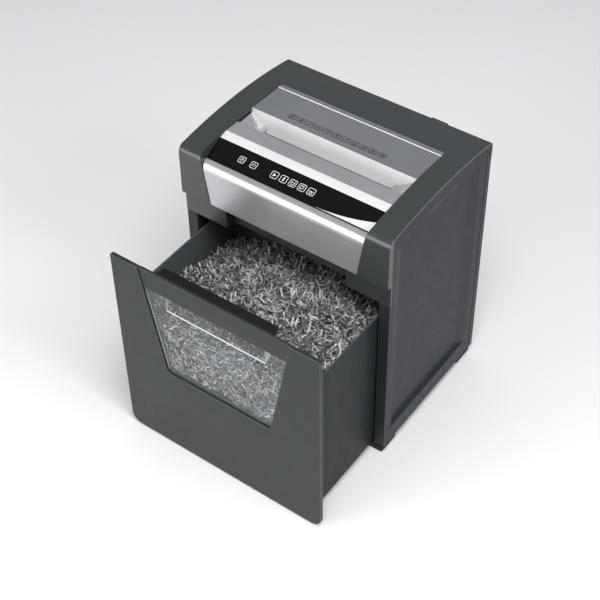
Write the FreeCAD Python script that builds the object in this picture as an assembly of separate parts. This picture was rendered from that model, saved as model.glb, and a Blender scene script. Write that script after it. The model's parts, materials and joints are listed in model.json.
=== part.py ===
"""Cross-cut paper shredder with a pull-out bin, built as separate pieces.

Millimetres, +Z up, front towards -Y. The origin is on the floor under the middle of the
whole machine. The bin stands part-way out, which is joint value 0 of its slide.
"""
import FreeCAD
import Part
import math
import os

from FreeCAD import Vector

# ---------------------------------------------------------------- cabinet
CAB_W = 372.0            # overall width
CAB_D = 281.0            # depth of the cabinet, front face to back face
CREST_Z = 470.7          # highest point of the domed top above the floor
DOME_R = 852.0           # radius of the dome, seen from the side
CREST_BACK = 123.5       # the crest of the dome behind the front face
FRONT_CORNER_R = 12.0
BACK_CORNER_R = 8.0
SHELL_T = 3.0            # wall of the top shell
SEAM = 0.5               # gap between neighbouring mouldings
WALL_BASE_Z = 17.0       # underside of the side walls
STEP_DROP = 96.2         # crest down to the edge that the bin front closes under
APRON_DROP = 136.7       # crest down to the lower edge of the apron
BACK_SKIRT = 29.3        # height of the shell's upright back, under the dome
RETURN_W = 3.0           # thickness of the shell's side returns
RETURN_LAP = 6.0         # how far the returns reach behind the apron's face
CUT = 1.0                # overrun of a cutting solid past the face that it opens

# ---------------------------------------------------------------- side walls and panels
SIDE_WALL_W = 18.5       # thickness of a whole side, wall and panel together
INNER_PLATE_T = 2.5
WALL_SET = 0.4           # rim of the side wall set in from the shell's side
PANEL_SET = 0.8          # face of the side panel set in from the shell's side
WELL_R = 8.0             # corner of the well that the panel sits in
BAND_FRONT = 3.0         # width of the wall's rim round the side panel
BAND_TOP = 5.0
BAND_BACK = 11.0
BAND_BASE = 5.0
PANEL_T = 8.2            # thickness of the side panel at its border
PANEL_GAP = 0.8
RECESS_DEPTH = 5.5
RECESS_FRONT = 12.0      # border of the side panel before its recess starts
RECESS_TOP = 14.0
RECESS_BACK = 20.0
RECESS_BASE = 26.0
SLOPE_W = 18.0           # width of the recess's soft slopes
SILL_W = 5.0             # width of the slope along the bottom of the recess

# ---------------------------------------------------------------- silver insert on the head
CHEEK_TOP = 38.6         # cabinet side to the insert, on the top
CHEEK_MID = 41.6         # the same at the front corner
CHEEK_LOW = 53.9         # the same at the insert's lower edge
MID_DROP = 18.8
INSERT_T = 2.5
INSERT_BACK = 206.5      # back edge of the insert behind the front face
INSERT_R = 5.0           # its rounded back corners
STRIP_W = 9.3            # bright strip along the back edge
STRIP_STEP = 0.9         # step down from the strip to the rear plate
FLANGE_DEEP = 18.0       # depth of the lining round the insert
FLANGE_T = 3.0
THROAT_REAR = 129.6      # top edge of the throat's rear wall behind the front face
THROAT_REAR_DROP = 0.9
SLOT_REAR = 122.3        # rear wall of the feed slot behind the front face
SLOT_DROP = 32.0         # crest down to the lip of the feed slot
SLOT_L = 230.0           # length of the feed slot, A4 paper with 20 mm to spare
SLOT_W = 5.2
SLOT_DEEP = 14.0
RAMP_RUN = 22.0          # length of the ramp at each end of the slot, along X
THROAT_T = 2.5
RAMP_DROP = 6.9          # crest down to the outer end of the ramps
RAMP_LOW = 20.8          # crest down to the inner end of the ramps
DECK_BACK = 92.9         # back edge of the front deck behind the front face
DECK_BACK_DROP = 3.3
DECK_FRONT = 65.5
DECK_FRONT_DROP = 3.1
BEVEL_FRONT = 50.9
BEVEL_DROP = 6.6
FASCIA_FRONT = 13.5
FASCIA_DROP = 18.8
COWL_SET = 1.0           # silver front set back from the shell's front face
COWL_BEND_DROP = 36.0    # crest down to where the silver front turns upright

# ---------------------------------------------------------------- keys and indicators
KEY_W = 13.0
KEY_H = 12.0
KEY_GAP = 0.35
KEY_PROUD = 0.5
KEY_TRAVEL = 0.7
KEY_X = (-92.2, -70.8)
LENS_W = 12.4
LENS_H = 12.0
LENS_T = 1.5
LENS_X0 = -33.1
LENS_PITCH = 16.2
LENS_COUNT = 5
BOARD_DROP = 10.4        # top of the control board under the fascia's face
BOARD_T = 1.6
SWITCH_H = 4.0
SWOOSH_L = 92.0
SWOOSH_H = 17.0
SWOOSH_T = 0.6

# ---------------------------------------------------------------- bin
BIN_OPEN = 166.4         # how far the bin stands open here
FRONT_T = 7.0            # thickness of the bin front
FRONT_BASE_Z = 3.0
FRONT_GAP = 1.0          # bin front to the edge above it
FRONT_R = 18.0
STEP_DEEP = 8.0          # step behind the shell's front face that the bin front fills
WINDOW_TOP_HALF = 135.3
WINDOW_LOW_HALF = 96.5
WINDOW_LOW_DROP = 200.5  # top of the bin front down to the bottom of the window
WINDOW_R = 8.0
GRIP_H = 36.5
GRIP_SET = 2.5           # grip bar set back from the bin front
GRIP_T = 4.5
LEDGE_DEEP = 16.5
LEDGE_HALF = 106.0
LEDGE_TAPER = 5.0
LEDGE_T = 3.0
LEDGE_CLEAR = 3.0        # ledge to the side of the pocket that it closes into
LEDGE_SET = 0.2          # ledge below the top of the bin front
GLASS_T = 2.0
GLASS_SET = 4.6          # window set back from the face of the bin front
SCOOP_HALF = 91.0
SCOOP_DROP = 66.5        # top of the bin front down to the lip of the finger scoop
SCOOP_RISE = 20.0
TUB_CLEAR = 3.0          # bin tub to the side walls
TUB_T = 2.5
TUB_BASE_Z = 18.0
TUB_TOP_DROP = 33.3      # apron down to the rim of the tub
TUB_BACK_CLEAR = 15.0    # closed tub to the back panel
SHRED_GAP = 0.5
SHRED_WALL = 2.5         # wall of the hollow heap, which gives it its real mass
SHRED_DROP = 7.0         # rim of the tub down to the top of the heap
SHRED_SIDE_DROP = 30.0

# ---------------------------------------------------------------- base
TRAY_T = 3.0
TRAY_SET = 3.0           # tray set back from the side walls' front edge
TRAY_SIDE_SET = 8.0
FOOT_H = 12.0
FOOT_W = 27.0
FOOT_L = 36.0
FOOT_R = 9.0
FOOT_SIDE_SET = 2.0      # feet set in from the cabinet's side
FOOT_FRONT_SET = 1.5
FOOT_BACK_SET = 6.0
RUNNER_W = 14.0
RUNNER_X = 125.0
RUNNER_GAP = 0.4
BACK_T = 3.0
BACK_SET = 3.5           # back panel set in from the cabinet's back face
VENT_ROWS = 9
VENT_PITCH = 8.0
VENT_H = 3.5
VENT_HALF = 32.0         # half the length of a vent slot
VENT_X = (-85.0, 55.0)   # middle of each block of vent slots
VENT_RISE = 12.0         # apron height up to the lowest slot
SCREW_HOLE_R = 2.0
SCREW_IN = 12.0          # screws in from the panel's upper and side edges
SCREW_RISE = 14.0        # lowest screws above the foot of the side walls

# ---------------------------------------------------------------- cutting mechanism
CUTTER_DROP = 77.7       # crest down to the cutter shafts
NIP_BACK = 120.4         # line where the cutters meet, behind the front face
SHAFT_GAP = 34.0         # between the two cutter shafts
DISC_R = 19.5
SPACER_R = 13.9
DISC_PITCH = 4.4
DISC_T = 2.0
FLUTES = 6
FLUTE_R = 2.4
FLUTE_OUT = 0.3          # middle of each flute outside the discs
ROLL_OVER = 1.5          # stack of discs past each end of the slot
JOURNAL_R = 6.0
JOURNAL_FIT = 0.05
BUSH_R = 9.0
PLATE_T = 3.0
PLATE_CLEAR = 3.5        # slot end to the frame plates
PLATE_FRONT = 46.0       # frame plates in front of the nip
PLATE_REAR = 140.0       # and behind it
FLOOR_T = 3.0
COMB_T = 8.0
TIE_R = 4.0

# ---------------------------------------------------------------- gear train and motor
SYNC_TEETH = 17
SYNC_MODULE = SHAFT_GAP / SYNC_TEETH
FINAL_TEETH = 48
FINAL_PINION = 12
FINAL_MODULE = 1.5
SECOND_TEETH = 52
SECOND_PINION = 13
SECOND_MODULE = 1.0
FIRST_TEETH = 48
FIRST_PINION = 12
FIRST_MODULE = 0.8
SECOND_ANGLE = math.radians(25.0)
FIRST_ANGLE = math.radians(-35.0)
MOTOR_ANGLE = math.radians(20.0)
PIN_R = 3.0
PIN_FIT = 0.05
MOTOR_R = 33.0
MOTOR_L = 108.0
MOTOR_T = 3.0
MOTOR_SHAFT_R = 2.5
ROTOR_R = 21.0

# ---------------------------------------------------------------- rear switch, inlet and interlock
BEZEL_X = 92.2
BEZEL_W = 30.5
BEZEL_H = 33.0
BEZEL_PROUD = 3.2
BEZEL_UNDER = 3.8        # top of the switch bezel under the dome's height at the back
ROCKER_W = 20.0
ROCKER_H = 14.0
ROCKER_GAP = 0.4
ROCKER_TILT = 8.0        # tilt of the rocker from its middle, here in the off position
ROCKER_OUT = 0.2         # axis of the rocker behind the cabinet's back face
ROCKER_TIP = 3.6         # tip of the rocker behind its axis
INLET_DROP = 74.0
GLAND_X = 130.2
GLAND_R = 8.8
GLAND_HOLE_R = 9.0
GLAND_FLANGE_R = 11.0
LEAD_R = 3.8             # hole through the gland
INTERLOCK_X = 130.0
INTERLOCK_Z = 230.0
PLUNGER_R = 2.5
PLUNGER_OUT = 4.0

# ---------------------------------------------------------------- screws
# shank radius, head radius, head height and length, where it is fixed
BACK_SCREW = (1.6, 3.6, 2.0, 9.0)
FRAME_SCREW = (1.8, 4.2, 2.4)

# ---------------------------------------------------------------- places worked out from the sizes
HALF_W = CAB_W / 2
ROCKER_REACH = (ROCKER_OUT + ROCKER_TIP * math.cos(math.radians(ROCKER_TILT))
                + ROCKER_H / 2 * math.sin(math.radians(ROCKER_TILT)))
BACK_Y = (BIN_OPEN + CAB_D - ROCKER_REACH) / 2
FRONT_Y = BACK_Y - CAB_D
CREST_Y = FRONT_Y + CREST_BACK
DOME_CZ = CREST_Z - DOME_R
DOME_BACK_Z = DOME_CZ + math.sqrt(DOME_R ** 2 - (BACK_Y - CREST_Y) ** 2)
BACK_SKIRT_Z = DOME_BACK_Z - BACK_SKIRT
STEP_Z = CREST_Z - STEP_DROP
APRON_Z = CREST_Z - APRON_DROP
WALL_IN = HALF_W - SIDE_WALL_W
WALL_FRONT = FRONT_Y + STEP_DEEP
PANEL_BACK_Y = BACK_Y - BACK_SET
CUTTER_Z = CREST_Z - CUTTER_DROP
NIP_Y = FRONT_Y + NIP_BACK
FRONT_SHAFT = (NIP_Y - SHAFT_GAP / 2, CUTTER_Z)
REAR_SHAFT = (NIP_Y + SHAFT_GAP / 2, CUTTER_Z)
PLATE_IN = SLOT_L / 2 + PLATE_CLEAR
PLATE_OUT = PLATE_IN + PLATE_T
FLOOR_TOP = APRON_Z + 2.0 + FLOOR_T
PLATE_TOP = CREST_Z - SLOT_DROP - SLOT_DEEP - 1.5
BIN_Y = FRONT_Y - BIN_OPEN
FRONT_TOP_Z = STEP_Z - FRONT_GAP
TUB_HALF = WALL_IN - TUB_CLEAR
TUB_TOP_Z = APRON_Z - TUB_TOP_DROP
TUB_FRONT = BIN_Y + FRONT_T
TUB_BACK = PANEL_BACK_Y - BACK_T - TUB_BACK_CLEAR - BIN_OPEN
TRAY_Z = FOOT_H


def box(x0, x1, y0, y1, z0, z1):
    """Box between two corners."""
    return Part.makeBox(x1 - x0, y1 - y0, z1 - z0, Vector(x0, y0, z0))


def rod_x(x0, x1, centre, radius):
    """Cylinder along X; centre is (y, z)."""
    return Part.makeCylinder(radius, x1 - x0, Vector(x0, centre[0], centre[1]), Vector(1, 0, 0))


def rod_y(y0, y1, x, z, radius):
    """Cylinder along Y."""
    return Part.makeCylinder(radius, y1 - y0, Vector(x, y0, z), Vector(0, 1, 0))


def rod_z(z0, z1, x, y, radius):
    """Cylinder along Z."""
    return Part.makeCylinder(radius, z1 - z0, Vector(x, y, z0), Vector(0, 0, 1))


def face_of(points):
    """Flat face inside a closed polygon."""
    return Part.Face(Part.makePolygon(points + [points[0]]))


def prism_x(points, x0, x1):
    """Polygon of (y, z) points, extruded along X."""
    return face_of([Vector(x0, y, z) for y, z in points]).extrude(Vector(x1 - x0, 0, 0))


def prism_y(points, y0, y1):
    """Polygon of (x, z) points, extruded along Y."""
    return face_of([Vector(x, y0, z) for x, z in points]).extrude(Vector(0, y1 - y0, 0))


def prism_z(points, z0, z1):
    """Polygon of (x, y) points, extruded along Z."""
    return face_of([Vector(x, y, z0) for x, y in points]).extrude(Vector(0, 0, z1 - z0))


def mirrored(shape):
    """The same piece on the other side of the cabinet."""
    return shape.mirror(Vector(0, 0, 0), Vector(1, 0, 0))


def joined(shapes):
    """One solid from several."""
    whole = shapes[0].multiFuse(shapes[1:]) if len(shapes) > 1 else shapes[0]
    return whole.removeSplitter()


def rounded(shape, radius, along, keep):
    """Fillet the straight edges along one axis whose middle passes the test keep."""
    chosen = []
    for edge in shape.Edges:
        if not isinstance(edge.Curve, (Part.Line, Part.LineSegment)):
            continue
        way = edge.Vertexes[1].Point - edge.Vertexes[0].Point
        if way.cross(along).Length < 1e-6 * way.Length and keep(edge.CenterOfMass):
            chosen.append(edge)
    return shape.makeFillet(radius, chosen)


def save(name, shape):
    """Write one piece, or a group of identical pieces, to its STEP file."""
    shape.exportStep(os.path.join("parts", name + ".step"))


# ================================================================ outlines shared by several pieces
def dome_z(y, inset=0.0):
    """Height of the domed top at depth y, inset from its outer face."""
    return DOME_CZ + math.sqrt((DOME_R - inset) ** 2 - (y - CREST_Y) ** 2)


def side_wire(x, front, back, bottom, inset, front_r, back_r):
    """Side outline at x: flat bottom, upright ends, domed top and two rounded corners."""
    radius = DOME_R - inset

    def corner(edge_y, r, outward):
        centre_y = edge_y - outward * r
        centre_z = DOME_CZ + math.sqrt((radius - r) ** 2 - (centre_y - CREST_Y) ** 2)
        tilt = math.atan2(centre_z - DOME_CZ, centre_y - CREST_Y)
        flat = 0.0 if outward > 0 else math.pi
        mid = (tilt + flat) / 2
        on_edge = Vector(x, edge_y, centre_z)
        on_arc = Vector(x, centre_y + r * math.cos(mid), centre_z + r * math.sin(mid))
        on_dome = Vector(x, centre_y + r * math.cos(tilt), centre_z + r * math.sin(tilt))
        return on_edge, on_arc, on_dome

    front_edge, front_mid, front_dome = corner(front, front_r, -1)
    back_edge, back_mid, back_dome = corner(back, back_r, 1)
    crest = Vector(x, (front + back) / 2, dome_z((front + back) / 2, inset))
    low_front = Vector(x, front, bottom)
    low_back = Vector(x, back, bottom)
    return Part.Wire([
        Part.LineSegment(low_front, low_back).toShape(),
        Part.LineSegment(low_back, back_edge).toShape(),
        Part.Arc(back_edge, back_mid, back_dome).toShape(),
        Part.Arc(back_dome, crest, front_dome).toShape(),
        Part.Arc(front_dome, front_mid, front_edge).toShape(),
        Part.LineSegment(front_edge, low_front).toShape(),
    ])


def side_prism(x0, x1, *outline):
    """Side outline extruded from x0 to x1."""
    return Part.Face(side_wire(x0, *outline)).extrude(Vector(x1 - x0, 0, 0))


def insert_space(grow):
    """The space in the head that the silver insert fills, grown by a clearance."""
    low = HALF_W - CHEEK_LOW + grow
    mid = HALF_W - CHEEK_MID + grow
    top = HALF_W - CHEEK_TOP + grow
    outline = [(low, STEP_Z - 40), (low, STEP_Z), (mid, CREST_Z - MID_DROP), (top, CREST_Z - BEVEL_DROP),
               (top, CREST_Z + 10)]
    outline += [(-x, z) for x, z in reversed(outline)]
    back = FRONT_Y + INSERT_BACK + grow
    space = prism_y(outline, FRONT_Y - 5, back)

    def at_back_corner(point):
        return abs(point.y - back) < 0.01 and abs(abs(point.x) - top) < 0.01

    return rounded(space, INSERT_R + grow, Vector(0, 0, 1), at_back_corner)


def strip(points, thick):
    """Side outline (y, z) of a bent sheet: the outer line, and the same line moved in by thick."""
    inner = []
    for i, (y, z) in enumerate(points):
        before = points[max(i - 1, 0)]
        after = points[min(i + 1, len(points) - 1)]
        ways = []
        for a, b in ((before, (y, z)), ((y, z), after)):
            length = math.hypot(b[0] - a[0], b[1] - a[1])
            if length > 1e-9:
                ways.append(((b[0] - a[0]) / length, (b[1] - a[1]) / length))
        ny = -sum(w[1] for w in ways) / len(ways)
        nz = sum(w[0] for w in ways) / len(ways)
        scale = thick / (ny * ny + nz * nz)
        inner.append((y + ny * scale, z + nz * scale))
    return points + inner[::-1]


def front_shifted(pairs):
    """(y, z) points from pairs of (distance behind the front face, drop below the crest)."""
    return [(FRONT_Y + back, CREST_Z - drop) for back, drop in pairs]


# ================================================================ cabinet mouldings
def make_top_shell():
    """Hood over the head, with the opening for the insert, side returns and the apron."""
    outer = (FRONT_Y, BACK_Y, STEP_Z, 0.0, FRONT_CORNER_R, BACK_CORNER_R)
    inner = (FRONT_Y + SHELL_T, BACK_Y - SHELL_T, STEP_Z - 1, SHELL_T,
             FRONT_CORNER_R - SHELL_T, BACK_CORNER_R - SHELL_T)
    hood = side_prism(-HALF_W, HALF_W, *outer)
    hollow = side_prism(-HALF_W + RETURN_W, HALF_W - RETURN_W, *inner)
    past_return = (WALL_FRONT + SHELL_T - SEAM, BACK_Y - SHELL_T, STEP_Z - 1, SHELL_T,
                   FRONT_CORNER_R / 2, BACK_CORNER_R - SHELL_T)
    hood = hood.cut([hollow, side_prism(-HALF_W - 1, HALF_W + 1, *past_return)])
    hood = hood.cut(box(-HALF_W - 1, HALF_W + 1, WALL_FRONT + RETURN_LAP, BACK_Y + 1,
                        STEP_Z - 1, BACK_SKIRT_Z))
    space = insert_space(0.0)
    hood = hood.cut(space)
    deep = side_prism(-HALF_W, HALF_W, FRONT_Y + 1, BACK_Y - 1, STEP_Z, 1.0,
                      FRONT_CORNER_R - 1, BACK_CORNER_R - 1)
    core = side_prism(-HALF_W, HALF_W, FRONT_Y + FLANGE_DEEP, BACK_Y - 1, STEP_Z, FLANGE_DEEP, 2.0, 2.0)
    lining = insert_space(FLANGE_T).cut(space).common(deep).cut(core)
    apron_back = WALL_FRONT + SHELL_T
    pocket_half = LEDGE_HALF + LEDGE_CLEAR
    pocket_back = WALL_FRONT + SEAM * 2 + LEDGE_DEEP
    ledge = box(-HALF_W, HALF_W, FRONT_Y, apron_back, STEP_Z, STEP_Z + SHELL_T)
    ledge = ledge.cut(box(-HALF_W + CHEEK_LOW, HALF_W - CHEEK_LOW, FRONT_Y - 1, FRONT_Y + COWL_SET
                          + INSERT_T + SEAM, STEP_Z - 1, STEP_Z + SHELL_T + 1))
    apron = box(-HALF_W, HALF_W, WALL_FRONT, apron_back, APRON_Z, STEP_Z + SHELL_T)
    apron = apron.cut(box(-pocket_half, pocket_half, WALL_FRONT - 1, apron_back + 1, APRON_Z - 1, STEP_Z))
    pocket = box(-pocket_half - SHELL_T, pocket_half + SHELL_T, WALL_FRONT, pocket_back + SHELL_T,
                 APRON_Z, STEP_Z + SHELL_T)
    pocket = pocket.cut(box(-pocket_half, pocket_half, WALL_FRONT - 1, pocket_back, APRON_Z - 1, STEP_Z))
    return joined([hood, lining, ledge, apron, pocket])


def wall_outline(grow_front, grow_top, grow_back, grow_base, radius):
    """Side outline inside the side wall's own edge, by a different amount on each side."""
    return (WALL_FRONT + grow_front, BACK_Y - grow_back, WALL_BASE_Z + grow_base,
            SHELL_T + SEAM + grow_top, radius, radius)


def make_side_wall():
    """Right-hand side wall: an inner plate with a rim that holds the side panel."""
    face_x = HALF_W - WALL_SET
    wall = side_prism(WALL_IN, face_x, *wall_outline(0, 0, 0, 0, FRONT_CORNER_R))
    well = side_prism(WALL_IN + INNER_PLATE_T, face_x + 1,
                      *wall_outline(BAND_FRONT, BAND_TOP, BAND_BACK, BAND_BASE, WELL_R))
    wall = wall.cut(well)
    behind_apron = box(WALL_IN - 1, HALF_W + 1, WALL_FRONT - 1, WALL_FRONT + SHELL_T + SEAM,
                       APRON_Z - SEAM, CREST_Z)
    skirt = box(WALL_IN - 1, HALF_W + 1, BACK_Y - SHELL_T - SEAM, BACK_Y + 1,
                BACK_SKIRT_Z - SEAM, CREST_Z)
    return wall.cut([behind_apron, skirt])


def make_side_panel():
    """Right-hand side panel: a slab with a wide, soft-sided recess."""
    gap = PANEL_GAP
    outer_x = HALF_W - PANEL_SET

    def outline(more, base_more):
        return wall_outline(BAND_FRONT + gap + more[0], BAND_TOP + gap + more[1],
                            BAND_BACK + gap + more[2], BAND_BASE + gap + base_more, WELL_R)

    slab = side_prism(outer_x - PANEL_T, outer_x, *outline((0, 0, 0), 0))
    mouth = (RECESS_FRONT, RECESS_TOP, RECESS_BACK)
    field = tuple(edge + SLOPE_W for edge in mouth)
    past = 0.2
    share = past / RECESS_DEPTH
    wide = tuple(edge - SLOPE_W * share for edge in mouth)
    recess = Part.makeLoft([
        side_wire(outer_x + past, *outline(wide, RECESS_BASE - SILL_W * share)),
        side_wire(outer_x - RECESS_DEPTH, *outline(field, RECESS_BASE + SILL_W)),
    ], True, True)
    slab = slab.cut(recess)
    notch = box(outer_x - PANEL_T - 1, HALF_W + 1, WALL_FRONT - 1, WALL_FRONT + SHELL_T + SEAM,
                APRON_Z - SEAM, CREST_Z)
    return slab.cut(notch)


def make_back_panel():
    """Back panel with two blocks of vent slots and holes for the switch, inlet and screws."""
    top = BACK_SKIRT_Z - SEAM
    panel = box(-WALL_IN + SEAM, WALL_IN - SEAM, PANEL_BACK_Y - BACK_T, PANEL_BACK_Y,
                TRAY_Z + TRAY_T, top)
    holes = []
    through = (PANEL_BACK_Y - BACK_T - CUT, PANEL_BACK_Y + CUT)
    for x in VENT_X:
        for row in range(VENT_ROWS):
            z = APRON_Z + VENT_RISE + VENT_PITCH * row
            holes.append(box(x - VENT_HALF, x + VENT_HALF, *through, z, z + VENT_H))
    holes.append(rod_y(*through, GLAND_X, CREST_Z - INLET_DROP, GLAND_HOLE_R))
    for x, z in screw_places():
        holes.append(rod_y(*through, x, z, SCREW_HOLE_R))
    return panel.cut(holes)


def screw_places():
    """(x, z) of the back panel's screws."""
    edge = WALL_IN - SCREW_IN
    top = BACK_SKIRT_Z - SCREW_IN
    middle = (WALL_BASE_Z + top) / 2
    return [(side * edge, z) for side in (-1, 1) for z in (WALL_BASE_Z + SCREW_RISE, middle, top)]


def screw(radius, head_r, head_t, length):
    """Pan-head screw with a cross recess; its head rests on z = 0 and its shank points down."""
    head = Part.makeCylinder(head_r, head_t)
    shank = Part.makeCylinder(radius, length, Vector(0, 0, -length))
    arm = head_r * 0.6
    slot = 0.5
    cross = [box(-arm, arm, -slot, slot, head_t - 0.8, head_t + 1),
             box(-slot, slot, -arm, arm, head_t - 0.8, head_t + 1)]
    return head.fuse(shank).cut(cross)


def make_back_screws():
    """Screws that hold the back panel."""
    pieces = []
    for x, z in screw_places():
        one = screw(*BACK_SCREW)
        one.rotate(Vector(0, 0, 0), Vector(1, 0, 0), -90)
        one.translate(Vector(x, PANEL_BACK_Y, z))
        pieces.append(one)
    return Part.makeCompound(pieces)


# ================================================================ base
def make_base_tray():
    """Floor of the cabinet, with strips that the side walls stand on."""
    front = WALL_FRONT + TRAY_SET
    back = BACK_Y - TRAY_SET - CUT
    reach = HALF_W - TRAY_SIDE_SET
    tray = [box(-reach, reach, front, back, TRAY_Z, TRAY_Z + TRAY_T)]
    for side in (-1, 1):
        low, high = sorted((side * (WALL_IN + 1), side * reach))
        tray.append(box(low, high, front, back, TRAY_Z + TRAY_T, WALL_BASE_Z))
    return joined(tray)


def make_feet(front):
    """Two moulded feet with a rounded outer lower edge, at the front or the back."""
    y0 = WALL_FRONT + FOOT_FRONT_SET if front else BACK_Y - FOOT_BACK_SET - FOOT_L
    outer = HALF_W - FOOT_SIDE_SET
    foot = box(outer - FOOT_W, outer, y0, y0 + FOOT_L, 0, TRAY_Z)
    foot = rounded(foot, FOOT_R, Vector(0, 1, 0), lambda p: p.x > outer - 1 and p.z < 1)
    return Part.makeCompound([foot, mirrored(foot)])


def make_bin_runners():
    """Two rails on the base tray that the bin slides on."""
    top = TUB_BASE_Z - RUNNER_GAP
    rail = box(RUNNER_X - RUNNER_W / 2, RUNNER_X + RUNNER_W / 2, WALL_FRONT + 5, BACK_Y - 20,
               TRAY_Z + TRAY_T, top)
    rail = rounded(rail, 1.5, Vector(0, 1, 0), lambda p: p.z > top - 0.1)
    return Part.makeCompound([rail, mirrored(rail)])


# ================================================================ silver insert
def insert_sheet(pairs, thick=INSERT_T):
    """Bent sheet across the insert, trimmed to the space for it."""
    reach = HALF_W
    sheet = prism_x(strip(front_shifted(pairs), thick), -reach, reach)
    return sheet.common(insert_space(-SEAM))


def above_ramps(y0, y1):
    """The space of the throat: everything above the undersides of the ramps and beside the slot."""
    half = HALF_W - CHEEK_MID
    ramp_top = CREST_Z - RAMP_DROP
    ramp_low = CREST_Z - RAMP_LOW
    ramp_in = SLOT_L / 2
    side = [(half + 10, CREST_Z + 5), (half + 10, ramp_top - THROAT_T), (half, ramp_top - THROAT_T),
            (half - RAMP_RUN, ramp_low - THROAT_T), (ramp_in + THROAT_T, ramp_low - 2 * THROAT_T),
            (ramp_in + THROAT_T, ramp_low - 40)]
    return prism_y(side + [(-x, z) for x, z in reversed(side)], y0, y1)


def make_rear_deck():
    """Plate behind the feed slot, with its bright back strip and the throat's rear wall."""
    back = INSERT_BACK
    lip = back - STRIP_W

    def drop(distance):
        return CREST_Z - dome_z(FRONT_Y + distance)

    pairs = [(back, drop(back)), (lip, drop(lip)), (lip - 0.5, drop(lip) + STRIP_STEP),
             (THROAT_REAR, THROAT_REAR_DROP), (SLOT_REAR, SLOT_DROP)]
    return insert_sheet(pairs).common(above_ramps(FRONT_Y, FRONT_Y + back + 5))


def make_feed_throat():
    """Funnel under the decks: front slope, two end ramps and the walls of the feed slot."""
    lip_z = CREST_Z - SLOT_DROP - SEAM
    low_z = lip_z - SLOT_DEEP
    rear = FRONT_Y + SLOT_REAR
    front = rear - SLOT_W
    half = HALF_W - CHEEK_MID
    deck_y = FRONT_Y + DECK_BACK
    deck_z = CREST_Z - DECK_BACK_DROP - INSERT_T - SEAM
    ramp_in = SLOT_L / 2
    ramp_top = CREST_Z - RAMP_DROP
    ramp_low = CREST_Z - RAMP_LOW
    knee = half - RAMP_RUN
    wall = THROAT_T
    slope = prism_x([(deck_y, deck_z), (front, lip_z), (front, low_z), (front - wall, low_z),
                     (front - wall, lip_z - wall), (deck_y - wall, deck_z - wall)], -half, half)
    back_wall = box(-half, half, rear, rear + wall, low_z, lip_z - 1)
    above = above_ramps(deck_y - 10, rear + 20)
    ramp = prism_y([(ramp_in, low_z), (ramp_in, ramp_low - wall), (knee, ramp_low), (half, ramp_top),
                    (half, low_z)], deck_y + 1.5, rear + 12)
    lean = (THROAT_REAR - SLOT_REAR) / (SLOT_DROP - THROAT_REAR_DROP)
    keep_off = prism_x([(rear - 0.3, lip_z + SEAM), (rear - 0.3 + lean * 60, lip_z + SEAM + 60),
                        (rear + 60, lip_z + SEAM + 60), (rear + 60, lip_z - 40), (rear + wall, lip_z - 40),
                        (rear + wall, lip_z)], -HALF_W, HALF_W)
    ramp = ramp.cut(keep_off)
    return joined([slope, back_wall, ramp, mirrored(ramp)]).common(above)


def make_front_deck():
    """Plate in front of the feed slot, down to its bright bevel."""
    return insert_sheet([(DECK_BACK, DECK_BACK_DROP), (DECK_FRONT, DECK_FRONT_DROP),
                         (BEVEL_FRONT, BEVEL_DROP)])


def make_front_cowl():
    """Silver front under the fascia: it curves over and runs straight down."""
    start = (FASCIA_FRONT - 0.3, FASCIA_DROP + 0.2)
    bend = (COWL_SET, COWL_BEND_DROP)
    run = start[0] - bend[0]
    fall = bend[1] - start[1]
    steps = 10
    pairs = [(bend[0] + run * (1 - math.sin(math.pi / 2 * i / steps)),
              start[1] + fall * (1 - math.cos(math.pi / 2 * i / steps))) for i in range(steps + 1)]
    pairs.append((COWL_SET, STEP_DROP))
    return insert_sheet(pairs)


# ================================================================ fascia, keys and indicators
FASCIA_RUN = BEVEL_FRONT - FASCIA_FRONT
FASCIA_FALL = FASCIA_DROP - BEVEL_DROP
FASCIA_ANGLE = math.degrees(math.atan2(FASCIA_FALL, FASCIA_RUN))
FASCIA_L = math.hypot(FASCIA_RUN, FASCIA_FALL)
FASCIA_T = 2.5


def on_fascia(shape):
    """Move a piece built flat, face up at z = 0, onto the middle of the sloping fascia."""
    placed = shape.copy()
    placed.rotate(Vector(0, 0, 0), Vector(1, 0, 0), FASCIA_ANGLE)
    placed.translate(Vector(0, FRONT_Y + (BEVEL_FRONT + FASCIA_FRONT) / 2,
                            CREST_Z - (BEVEL_DROP + FASCIA_DROP) / 2))
    return placed


def tile(x, wide, high, low, top, radius):
    """Upright slab with rounded corners, centred on x."""
    slab = box(x - wide / 2, x + wide / 2, -high / 2, high / 2, low, top)
    return rounded(slab, radius, Vector(0, 0, 1), lambda p: True)


def lens_places():
    """X of each indicator."""
    return [LENS_X0 + LENS_PITCH * i for i in range(LENS_COUNT)]


def make_control_fascia():
    """Gloss fascia with a hole for each key and a seat for each indicator."""
    sheet = box(-HALF_W, HALF_W, -FASCIA_L / 2 + 0.2, FASCIA_L / 2 - 0.2, -FASCIA_T, 0)
    holes = [tile(x, KEY_W + 2 * KEY_GAP, KEY_H + 2 * KEY_GAP, -FASCIA_T - 1, 1, 1.5 + KEY_GAP)
             for x in KEY_X]
    holes += [tile(x, LENS_W + 0.2, LENS_H + 0.2, -LENS_T, 1, 1.6) for x in lens_places()]
    holes += [tile(x, LENS_W - 4, LENS_H - 4, -FASCIA_T - 1, 1, 1.0) for x in lens_places()]
    return on_fascia(sheet.cut(holes)).common(insert_space(-SEAM))


def make_key(x):
    """Key with a retaining rim under the fascia and a stem down to its switch."""
    cap = tile(x, KEY_W, KEY_H, -3.0, KEY_PROUD, 1.5)
    rim = tile(x, KEY_W + 2.4, KEY_H + 2.4, -3.8, -3.0, 2.0)
    stem = box(x - 2, x + 2, -2, 2, -(BOARD_DROP - SWITCH_H) + KEY_TRAVEL + 0.3, -3.8)
    return on_fascia(joined([cap, rim, stem]))


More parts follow.
